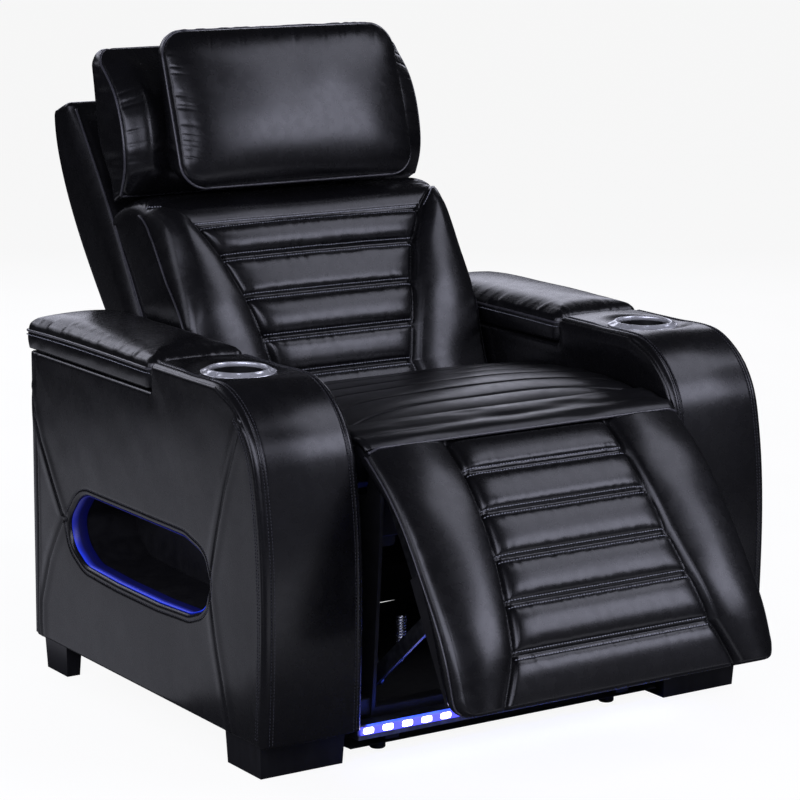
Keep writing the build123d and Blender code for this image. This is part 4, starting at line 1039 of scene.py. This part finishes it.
def cover(name, outline, centre, x0, face, height, thick, body, sgn, hole=None, step=3.0, m=110,
          mat="leather"):
    """Upholstered side sheet: outline and hole in (y, z), x0 the surface, face its direction."""
    o = np.vstack([outline, outline[:1]])
    d = np.r_[0, np.cumsum(np.hypot(*np.diff(o, axis=0).T))]
    keep = []
    for i in range(len(o) - 1):
        n = max(1, int(round((d[i + 1] - d[i]) / step)))
        keep += [o[i] + (o[i + 1] - o[i]) * k / n for k in range(n)]
    P = np.array(keep)
    c = np.asarray(centre, float)
    ang = np.arctan2(P[:, 1] - c[1], P[:, 0] - c[0])
    ro = np.hypot(P[:, 0] - c[0], P[:, 1] - c[1])
    ri = ray_hit(c, ang, hole) if hole is not None else np.full(len(P), 3.0)
    u = np.linspace(0, 1, m)
    u = u - 0.06 * np.sin(2 * np.pi * u)
    R = ri[:, None] * (1 - u) + ro[:, None] * u
    Y = c[0] + R * np.cos(ang)[:, None]
    Z = c[1] + R * np.sin(ang)[:, None]
    H = height(Y, Z, ro[:, None] - R, (R - ri[:, None]) if hole is not None else None)
    N = len(P)
    top = np.stack([sgn * (x0 + face * H), Y, Z], -1)
    verts = [top.reshape(-1, 3)]
    faces = []
    for i in range(N):
        i2 = (i + 1) % N
        for k in range(m - 1):
            faces.append((i * m + k, i2 * m + k, i2 * m + k + 1, i * m + k + 1))
    base = N * m
    rings = {}
    for key, k in (("in", 0), ("out", m - 1)):
        prev = np.arange(N) * m + k
        for w in (0.35, 0.7, 1.0):
            q = top[:, k].copy()
            q[:, 0] = sgn * ((x0 + face * H[:, k]) * (1 - w) + (x0 - face * thick) * w)
            verts.append(q)
            cur = base + np.arange(N)
            base += N
            for i in range(N):
                i2 = (i + 1) % N
                f = (prev[i], prev[i2], cur[i2], cur[i])
                faces.append(f if key == "out" else f[::-1])
            prev = cur
        rings[key] = prev
    if hole is not None:
        for i in range(N):
            i2 = (i + 1) % N
            faces.append((rings["in"][i], rings["in"][i2], rings["out"][i2], rings["out"][i]))
    else:
        faces.append(tuple(int(i) for i in np.arange(N) * m))
        faces.append(tuple(int(i) for i in rings["out"]))
        # the innermost ring is closed by a small cap, its wall is not needed
        n_in = 3 * N
        drop = set()
        for key_i, f in enumerate(faces):
            if any(N * m <= v < N * m + n_in for v in f):
                drop.add(key_i)
        faces = [f for i, f in enumerate(faces) if i not in drop]
        V = np.concatenate(verts)
        used = sorted({v for f in faces for v in f})
        idx = {v: i for i, v in enumerate(used)}
        return make(name, V[used], [tuple(idx[v] for v in f) for f in faces], mat, body)
    return make(name, np.concatenate(verts), faces, mat, body)


SIDE_OUT = np.vstack([[(p[0] + 2.5, p[1]) for p in prof[:150] if p[1] < 577.0],
                      [(124, 577.5), (200, 577.0), (315.5, 577.0), (315.5, 535.5), (715.5, 535.5)],
                      [(715.5 - 14 * (1 - math.cos(a)), 60 + 14 * (1 - math.sin(a)))
                       for a in np.linspace(0, math.pi / 2, 9)]])
OUT_C = (310.0, 272.0)
n_c1, n_c2, n_c3 = Noise2(101, 120, 120), Noise1(102, 11), Noise2(103, 40, 46)


def outer_h(Y, Z, d_out, d_in):
    do = dist_poly(Y, Z, SIDE_OUT, closed=True)
    di = dist_poly(Y, Z, POCKET, closed=True)
    h = 2.6 * (1 - np.exp(-do / 40)) * (1 - np.exp(-di / 30)) + 0.4
    h += 1.1 * n_c1(Y, Z) * smoothstep(0, 30, do)
    h += 0.35 * n_c3(Y, Z) * smoothstep(0, 20, do)
    h += groove(Y - 697, 2.4, 1.8) + 0.8 * np.exp(-((np.abs(Y - 697) - 6) / 4)**2)
    for seam in (REAR_SEAM, FRONT_SEAM):
        ds = dist_poly(Y, Z, seam)
        h += groove(ds, 2.3, 2.0) + 1.4 * np.exp(-((ds - 8) / 9)**2)
    # the rim is turned in round the pocket and pressed flat at its stitching
    q = np.clip(1 - di / 7.0, 0, 1)
    h -= 7.0 * (1 - np.sqrt(np.clip(1 - q * q, 0, 1)))
    h += groove(di - 11, 1.2, 2.0)
    q = np.clip(1 - do / 6.0, 0, 1)
    h -= 5.0 * (1 - np.sqrt(np.clip(1 - q * q, 0, 1)))
    return h


def inner_h(Y, Z, d_out, d_in):
    do = dist_poly(Y, Z, SIDE_OUT, closed=True)
    q = np.clip(1 - do / 6.0, 0, 1)
    return 1.3 + 0.5 * n_c1(Y + 200, Z) * smoothstep(0, 30, do) + \
        3.2 * smoothstep(512, 548, Z) * smoothstep(0, 20, do) - \
        5.0 * (1 - np.sqrt(np.clip(1 - q * q, 0, 1)))


n_r1, n_r2 = Noise2(111, 60, 120), Noise1(112, 13)


def roll_h(s, x):
    side = np.clip(85.7 - np.abs(x), 0, None)
    q = roll_line.at(s)
    near = np.hypot(x, q[..., 0] - 201.2)
    flat = np.where(q[..., 1] > 500, smoothstep(50, 84, near), 1.0)
    h = (2.0 + 3.6 * (1 - (x / 86)**2) + 0.9 * n_r1(x, s)) * flat - 1.5 * (1 - flat)
    h = h + groove(side - 13, 1.7, 2.2)
    return h


def lid_h(s, x):
    L = lid_line.L
    d = np.clip(inner(s, x, 84.5, L, 16), 0, None)
    h = 17 * np.sqrt(np.clip(1 - np.clip(1 - d / 46, 0, 1)**2, 0, 1))
    h += 7.5 * np.clip(1 - (x / 85)**2, 0, 1) * np.clip(1 - (2 * s / L - 1)**6, 0, 1)
    h += 1.0 * n_lid(x, s) * smoothstep(0, 16, d)
    h += 1.3 * n_l1(s) * np.exp(-np.clip(84.5 - np.abs(x), 0, None) / 12) * smoothstep(0, 4, d)
    h += 1.5 * n_l2(x) * np.exp(-np.clip(s, 0, None) / 14) * smoothstep(0, 4, d)
    return h


lid_line = Line2([(320, 574), (430, 575), (560, 575), (650, 574), (736.5, 571.5)])
n_lid, n_l1, n_l2 = Noise2(121, 60, 80), Noise1(122, 10), Noise1(123, 8)
rear_line = Line2([(717.8, 63), (719.2, 300), (721.0, 534)])


def edge_rows(P_, N_, thr, pitch=5.0):
    stitch_row(thr, P_, N_, pitch=pitch)


def yz_frame(seam, x0, hfun, sgn, off):
    """Points and normals on a side cover, off to one side of a seam in (y, z)."""
    q = resample(np.asarray(seam, float), 3.0)
    t = np.gradient(q, axis=0)
    t /= np.linalg.norm(t, axis=1, keepdims=True) + 1e-12
    q = q + off * np.stack([-t[:, 1], t[:, 0]], 1)
    H = hfun(q[:, 0], q[:, 1], None, None)
    P_ = np.stack([sgn * (x0 + H), q[:, 0], q[:, 1]], 1)
    N_ = np.tile([float(sgn), 0, 0], (len(q), 1))
    return P_, N_


def cut_hole(ob, centre, r, z0, z1):
    """Takes a round hole out of a piece."""
    bm = bmesh.new()
    bmesh.ops.create_cone(bm, cap_ends=True, segments=72, radius1=r, radius2=r, depth=z1 - z0)
    me = bpy.data.meshes.new("hole")
    bm.to_mesh(me)
    bm.free()
    hole = bpy.data.objects.new("hole", me)
    bpy.context.collection.objects.link(hole)
    hole.location = (*centre, (z0 + z1) / 2)
    md = ob.modifiers.new("hole", 'BOOLEAN')
    md.operation, md.solver, md.object = 'DIFFERENCE', 'EXACT', hole
    bpy.context.view_layer.update()
    dg = bpy.context.evaluated_depsgraph_get()
    me2 = bpy.data.meshes.new_from_object(ob.evaluated_get(dg))
    ob.modifiers.clear()
    ob.data = me2
    me2.polygons.foreach_set("use_smooth", [True] * len(me2.polygons))
    bpy.data.objects.remove(hole)


for side_name, sx in (("left", -1), ("right", 1)):
    thr, bag = Bag(), Bag()
    # outer cover
    ob = cover(f"arm_{side_name}_outer_cover", SIDE_OUT, OUT_C, 470.0, 1, outer_h, 17.0, "base", sx,
               hole=POCKET, m=120)
    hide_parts(f"arm_{side_name}_outer_panel")
    front = roll_line.at(np.linspace(10, roll_line.L - 260, 240))
    g = roll_line.tan(np.linspace(10, roll_line.L - 260, 240))
    for off in (10.0, 14.5):
        q = front + off * np.stack([g[:, 1], -g[:, 0]], 1) + np.array([2.5, 0])
        q = q[q[:, 1] > 64]
        P_, N_ = yz_frame(q, 470.0, outer_h, sx, 0.0)
        ry, rz = P_[:, 1] - OUT_C[0], P_[:, 2] - OUT_C[1]
        ok = np.hypot(ry, rz) < ray_hit(np.array(OUT_C), np.arctan2(rz, ry), SIDE_OUT) - 6
        stitch_row(thr, P_[ok], N_[ok])
    ring = np.vstack([POCKET, POCKET[:1]])
    P_, N_ = yz_frame(ring, 470.0, outer_h, sx, -11.0)
    if dist_poly(P_[:1, 1], P_[:1, 2], POCKET, closed=True)[0] > 5 and \
            ray_hit(np.array(OUT_C), np.array([math.atan2(P_[5, 2] - 272, P_[5, 1] - 310)]),
                    POCKET)[0] > math.hypot(P_[5, 1] - 310, P_[5, 2] - 272):
        P_, N_ = yz_frame(ring, 470.0, outer_h, sx, 11.0)
    stitch_row(thr, P_, N_)
    # light round the inside of the pocket rim
    c0 = POCKET.mean(0)
    rad = np.linalg.norm(POCKET - c0, axis=1)[:, None]
    rings = [(1.0, 466.0), (1.0, 459.0), (1.0, 452.0), (1.0, 446.0), (1.0, 440.0),
             (2.2, 440.0), (2.4, 452.0), (2.2, 466.0)]
    V = np.concatenate([np.column_stack([np.full(len(POCKET), sx * x),
                                         c0 + (POCKET - c0) * (1 - o / rad)]) for o, x in rings])
    n = len(POCKET)
    F = [(r * n + k, r * n + (k + 1) % n, ((r + 1) % 8) * n + (k + 1) % n, ((r + 1) % 8) * n + k)
         for r in range(8) for k in range(n)]
    ob = make(f"pocket_light_{side_name}", V, F, "led_pocket", "base")
    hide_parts(f"pocket_led_{side_name}")
    # inner cover
    ob = cover(f"arm_{side_name}_inner_cover", SIDE_OUT, (310.0, 300.0), 297.3, -1, inner_h, 17.0,
               "base", sx, m=60, step=5.0)
    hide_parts(f"arm_{side_name}_inner_panel")
    # front roll
    roll = Pad(roll_line, 86.0, roll_h, edge=9, ends=(3, 5), cx=sx * 383.65)
    ob = roll.mesh(f"arm_{side_name}_front_cover", "leather", "base", under(roll_line, 1, 15.0),
                   ns=380, nx=130, walls=4, bulge=0.0, coarse=14)
    cut_hole(ob, (sx * 0.3839, (201.2 - Y0) / 1000), 0.0438, 0.50, 0.66)
    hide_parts(f"arm_{side_name}_front_roll")
    ss = np.linspace(4, roll_line.L - 6, 400)
    for e in (-1, 1):
        for off in (10.2, 15.8):
            P_, N_ = roll.frame_at(ss, np.full_like(ss, e * (85.7 - off)))
            stitch_row(thr, P_, N_)
    # rear cover
    rear = Pad(rear_line, 84.5, lambda s, x: 1.5 + 2.0 * (1 - (x / 86)**2), sgn=-1, edge=6,
               ends=(12, 4), cx=sx * 383.65)
    ob = rear.mesh(f"arm_{side_name}_rear_cover", "leather", "base",
                   lambda s: np.stack([np.full(np.shape(s), 716.2), rear_line.at(s)[..., 1]], -1), ns=120, nx=50, walls=2,
                   bulge=0.0)
    # lid
    lid = Pad(lid_line, corner_hw(84.5, lid_line.L, 14, 14), lid_h, edge=5, ends=(5, 5),
              cx=sx * 383.7)
    wn = Noise1(130, 13)

    def lid_wall(p, w, ui, vj, out, wn=wn):
        k = np.arange(len(p))
        return p + out * (0.9 * math.sin(math.pi * w) * wn(k * 0.9 + 7 * w))[:, None]

    ob = lid.mesh(f"lid_{side_name}_cover", "leather", f"lid_{side_name}",
                  lambda s: np.stack([322 + np.asarray(s, float) / lid_line.L * 411.5,
                                      np.full(np.shape(s), 539.0)], -1),
                  ns=220, nx=130, walls=8, bulge=2.2, wall_fn=lid_wall)
    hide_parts(f"lid_{side_name}")
    lb, lt = Bag(), Bag()
    welt(lb, lid.rim + lid.rim_out * 1.2, r=2.1, closed=True)
    lb.make(f"lid_{side_name}_piping", "piping", f"lid_{side_name}")
    low = lid.rim + lid.rim_out * 2.3
    low[:, 2] -= 6.5
    stitch_row(lt, np.vstack([low, low[:1]]), np.vstack([lid.rim_out, lid.rim_out[:1]]))
    lt.make(f"lid_{side_name}_stitching", "thread", f"lid_{side_name}")
    thr.make(f"arm_{side_name}_stitching", "thread_dark", "base")

# -------------------------------------------------------------- cup rings
for side_name, sx in (("left", -1), ("right", 1)):
    profile = [(43.9, 577), (43.6, 581), (43.8, 584.6), (44.4, 586.2), (45.2, 586.9), (46.2, 587.0),
               (47.0, 586.6), (48.4, 585.8), (50.0, 584.4), (52.6, 582.2), (55.2, 580.6),
               (57.0, 579.6), (57.7, 578.8), (57.8, 577.6), (57.0, 576.6), (50, 576.2), (44.6, 576.2)]
    n = 288
    V, F = [], []
    for i in range(n):
        a = 2 * math.pi * i / n
        cut = (0.5 + 0.5 * math.cos(9 * a))**1.6
        for k, (r, z) in enumerate(profile):
            w = 1.0 if 7 <= k <= 13 else 0.0
            w = w * (0.45 if k == 7 else 1.0)
            rr = r - 2.6 * cut * w * (1.0 if k < 12 else 0.75)
            zz = z - 1.0 * cut * (1.0 if 8 <= k <= 11 else 0.0)
            V.append((sx * 383.9 + rr * math.cos(a), 201.2 + rr * math.sin(a),
                      577.6 + (zz - 577) * 0.68))
    m = len(profile)
    for i in range(n):
        for k in range(m):
            a0, a1 = i * m + k, i * m + (k + 1) % m
            b0, b1 = ((i + 1) % n) * m + k, ((i + 1) % n) * m + (k + 1) % m
            F.append((a0, b0, b1, a1))
    ob = make(f"cup_ring_{side_name}_faceted", V, F, "chrome", "base")
    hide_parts(f"cup_ring_{side_name}")

# ------------------------------------------- dust cloths under and behind, black sheets that are also painted shade under and behind the seat
n_d1, n_d2 = Noise2(141, 90, 110), Noise2(142, 35, 40)


def cloth(name, pts, normal, thick):
    """A stretched cloth: pts is a grid of mm points, thickened along a normal."""
    g = np.asarray(pts, float)
    a, b = g.shape[:2]
    nn = np.asarray(normal, float) * thick
    V = np.concatenate([g.reshape(-1, 3), (g + nn).reshape(-1, 3)])
    N = a * b
    F = []
    for i in range(a - 1):
        for j in range(b - 1):
            q = (i * b + j, i * b + j + 1, (i + 1) * b + j + 1, (i + 1) * b + j)
            F.append(q)
            F.append(tuple(k + N for k in q[::-1]))
    edge = [(0, j) for j in range(b)] + [(i, b - 1) for i in range(1, a)] + \
           [(a - 1, j) for j in range(b - 2, -1, -1)] + [(i, 0) for i in range(a - 2, 0, -1)]
    e = [i * b + j for i, j in edge]
    for k in range(len(e)):
        k2 = (k + 1) % len(e)
        F.append((e[k], e[k] + N, e[k2] + N, e[k2]))
    ob = make(name, V, F, "cloth", "base")
    return ob


uu, vv = np.meshgrid(np.linspace(-1, 1, 80), np.linspace(0, 1, 80), indexing='ij')
gx, gy = uu * 292.0, 30 + vv * 664.0
sag = 1.6 * n_d1(gx, gy) + 0.7 * n_d2(gx, gy)
# black cloth over the floor inside the base: a dust cover that is also painted shade under the seat
under_cloth_and_shade = cloth("dust_cloth_and_painted_shade_under", np.stack([gx, gy, 18.6 + sag * smoothstep(0, 0.06, vv)], -1),
                    (0, 0, 1), 1.2)
# black cloth across the back of the base: a dust cover that is also painted shade behind the mechanism
gx, gz = uu * 292.0, 21 + vv * 293.0
rear_cloth_and_shade = cloth("dust_cloth_and_painted_shade_rear", np.stack([gx, 697 + 1.5 * n_d1(gx, gz) + 0.8 * n_d2(gx, gz),
                                                gz], -1), (0, 1, 0), 1.2)

# ------------------------------------------------------- lights in the bar
bag = Bag()
for x in np.arange(-280, 281, 35.0):
    V, n = [(x, -2.5, 54.5)], 24
    for sc, y in ((0.8, -2.3), (0.97, -1.5), (1.0, -0.6)):
        for k in range(n):
            a = 2 * math.pi * k / n
            ca, sa = math.cos(a), math.sin(a)
            V.append((x + sc * 9.4 * abs(ca)**0.45 * math.copysign(1, ca), y,
                      54.5 + sc * 4.8 * abs(sa)**0.45 * math.copysign(1, sa)))
    F = [(0, 1 + k, 1 + (k + 1) % n) for k in range(n)]
    for r in range(2):
        F += [(1 + r * n + k, 1 + (r + 1) * n + k, 1 + (r + 1) * n + (k + 1) % n,
               1 + r * n + (k + 1) % n) for k in range(n)]
    F.append(tuple(1 + 2 * n + k for k in range(n)))
    bag.add(V, F)
bag.make("led_lamps", "led_spot", "base")

# ------------------------------------------- finish of the CAD nodes shown
FINISH = {
    "led_bar": "zinc", "led_strip": "led_base", "base_frame": "steel_black",
    "glide_feet": "plastic", "square_legs": "leg", "mechanism_plate_left": "steel_black",
    "mechanism_plate_right": "steel_black", "arm_spacers": "steel_black",
    # seat_front_rail is frame wood given the black powder finish: painted shade for the dark, unlit inside
    # of the frame
    "mechanism_cross_tubes": "steel_black", "seat_front_rail": "steel_black",
    "seat_springs": "zinc_bright", "footrest_motor": "plastic", "footrest_rod": "rod",
    "recline_motor": "plastic", "recline_rod": "rod", "head_motor": "plastic",
    "head_rod": "rod", "power_box": "plastic", "power_inlet": "gloss",
    "control_panel": "gloss", "recline_rocker": "button", "headrest_rocker": "button",
    "light_button": "button", "footrest_board": "board", "footrest_brackets": "zinc",
    "crank_arms": "zinc", "torque_tube": "steel_black", "coupler_links": "zinc",
    "coupler_springs": "zinc_bright", "back_uprights": "wood", "back_cross_rails": "wood",
    "back_hinge_brackets": "steel_black", "head_bracket": "steel_black", "lid_hinges": "zinc",
    "arm_left_boards": "board", "arm_right_boards": "board", "storage_bin_left": "felt",
    "storage_bin_right": "felt", "pocket_liner_left": "board", "pocket_liner_right": "board",
    "pocket_led_left": "led_pocket", "pocket_led_right": "led_pocket",
    "cup_liner_left": "cup", "cup_liner_right": "cup",
}
for node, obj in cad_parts.items():
    key = FINISH.get(node)
    if key is None:
        key = "leather"
    obj.data.materials.clear()
    obj.data.materials.append(MAT[key])

# ------------------------------------------------------------ stage, light
m, nt, bs = new_material("floor_pale")
tc = nt.nodes.new("ShaderNodeTexCoord")
fn = nodes_for(nt, "ShaderNodeTexNoise", Scale=3.0, Detail=3.0)
nt.links.new(tc.outputs["Object"], fn.inputs["Vector"])
nt.links.new(ramp(nt, fn.outputs[0], [(0.3, (0.15, 0.15, 0.15)), (0.7, (0.17, 0.17, 0.17))]),
             bs.inputs["Base Color"])
bs.inputs["Roughness"].default_value = 0.9
bs.inputs["Specular IOR Level"].default_value = 0.1
em = nodes_for(nt, "ShaderNodeEmission")
em.inputs[0].default_value = (1, 1, 1, 1)
em.inputs[1].default_value = 0.92
ad = nt.nodes.new("ShaderNodeAddShader")
mx = nt.nodes.new("ShaderNodeMixShader")
lp = nt.nodes.new("ShaderNodeLightPath")
nt.links.new(bs.outputs[0], ad.inputs[0])
nt.links.new(em.outputs[0], ad.inputs[1])
nt.links.new(lp.outputs["Is Camera Ray"], mx.inputs[0])
nt.links.new(bs.outputs[0], mx.inputs[1])
nt.links.new(ad.outputs[0], mx.inputs[2])
nt.links.new(mx.outputs[0], [n for n in nt.nodes if n.type == 'OUTPUT_MATERIAL'][0].inputs[0])
me = bpy.data.meshes.new("floor")
me.from_pydata([(-40, -40, 0), (40, -40, 0), (40, 40, 0), (-40, 40, 0)], [], [(0, 1, 2, 3)])
floor = bpy.data.objects.new("floor", me)
me.materials.append(m)
bpy.context.collection.objects.link(floor)


def softbox(name, az, el, dist, size, radiance, color=(1, 1, 1), target=(0, 0, 0.55)):
    """A soft light seen from the target at an azimuth and elevation in degrees."""
    a, e = math.radians(az), math.radians(el)
    d = Vector((math.sin(a) * math.cos(e), -math.cos(a) * math.cos(e), math.sin(e)))
    li = bpy.data.lights.new(name, 'AREA')
    li.shape = 'RECTANGLE'
    li.size, li.size_y = size
    li.energy = radiance * math.pi * size[0] * size[1]
    li.color = color
    ob = bpy.data.objects.new(name, li)
    bpy.context.collection.objects.link(ob)
    ob.location = Vector(target) + d * dist
    ob.rotation_euler = (-d).to_track_quat('-Z', 'Y').to_euler()
    ob.visible_camera = False
    return ob


softbox("front_right", 36, 25, 3.5, (1.7, 1.1), 4.6, (0.80, 0.81, 1.0))
softbox("front_left", -16, 25, 3.4, (0.6, 1.0), 3.4, (0.80, 0.81, 1.0))
softbox("key_left", -53, 20, 3.6, (2.9, 1.4), 3.8, (0.80, 0.81, 1.0))
softbox("front_low", 24, 2, 4.4, (3.4, 1.5), 0.15, (0.82, 0.83, 1.0))
softbox("over_right", 57, 46, 3.0, (1.7, 1.2), 2.3, (0.82, 0.83, 1.0))
softbox("back_right", 150, 18, 4.2, (3.6, 1.3), 1.8, (0.84, 0.85, 1.0))
softbox("back_left", -150, 24, 4.2, (2.6, 1.2), 1.0, (0.84, 0.85, 1.0))
softbox("back_high", -166, 32, 3.8, (2.0, 1.0), 2.2, (0.84, 0.85, 1.0))
softbox("left_side", -94, 16, 3.8, (1.4, 1.4), 1.8, (0.82, 0.83, 1.0))


def strip_light(name, loc, aim, size, watts, color):
    li = bpy.data.lights.new(name, 'AREA')
    li.shape = 'RECTANGLE'
    li.size, li.size_y = size
    li.energy, li.color = watts, color
    ob = bpy.data.objects.new(name, li)
    bpy.context.collection.objects.link(ob)
    ob.location = loc
    ob.rotation_euler = Vector(aim).to_track_quat('-Z', 'Y').to_euler()
    ob.visible_camera = False


def floor_glow(name, x, y, size, radiance):
    strip_light(name, (x, y, 0.004), (0, 0, 1), size, radiance * math.pi * size[0] * size[1],
                (0.86, 0.87, 1.0))


strip_light("bar_blue", (0, (-12 - Y0) / 1000, 0.052), (0, -0.35, -1), (0.56, 0.012), 0.35, (0.05, 0.12, 1))
strip_light("bar_blue_up", (0, (-6 - Y0) / 1000, 0.062), (0, 0.6, 1), (0.56, 0.012), 0.14, (0.04, 0.10, 1))
# pale floor near the chair, seen in its sides and arm fronts
floor_glow("floor_left", -1.35, 1.0, (1.7, 1.9), 0.40)
floor_glow("floor_front", 0.0, -1.65, (2.2, 1.4), 0.55)

world = bpy.data.worlds.new("studio")
bpy.context.scene.world = world
world.use_nodes = True
nt = world.node_tree
nt.nodes.clear()
wo = nt.nodes.new("ShaderNodeOutputWorld")
b1 = nt.nodes.new("ShaderNodeBackground")
b2 = nt.nodes.new("ShaderNodeBackground")
mx = nt.nodes.new("ShaderNodeMixShader")
lp = nt.nodes.new("ShaderNodeLightPath")
b1.inputs[0].default_value, b1.inputs[1].default_value = (0.86, 0.88, 1.0, 1), 0.025
b2.inputs[0].default_value, b2.inputs[1].default_value = (1, 1, 1, 1), 1.0
nt.links.new(lp.outputs["Is Camera Ray"], mx.inputs[0])
nt.links.new(b1.outputs[0], mx.inputs[1])
nt.links.new(b2.outputs[0], mx.inputs[2])
nt.links.new(mx.outputs[0], wo.inputs[0])
bpy.context.scene.view_settings.view_transform = 'Standard'
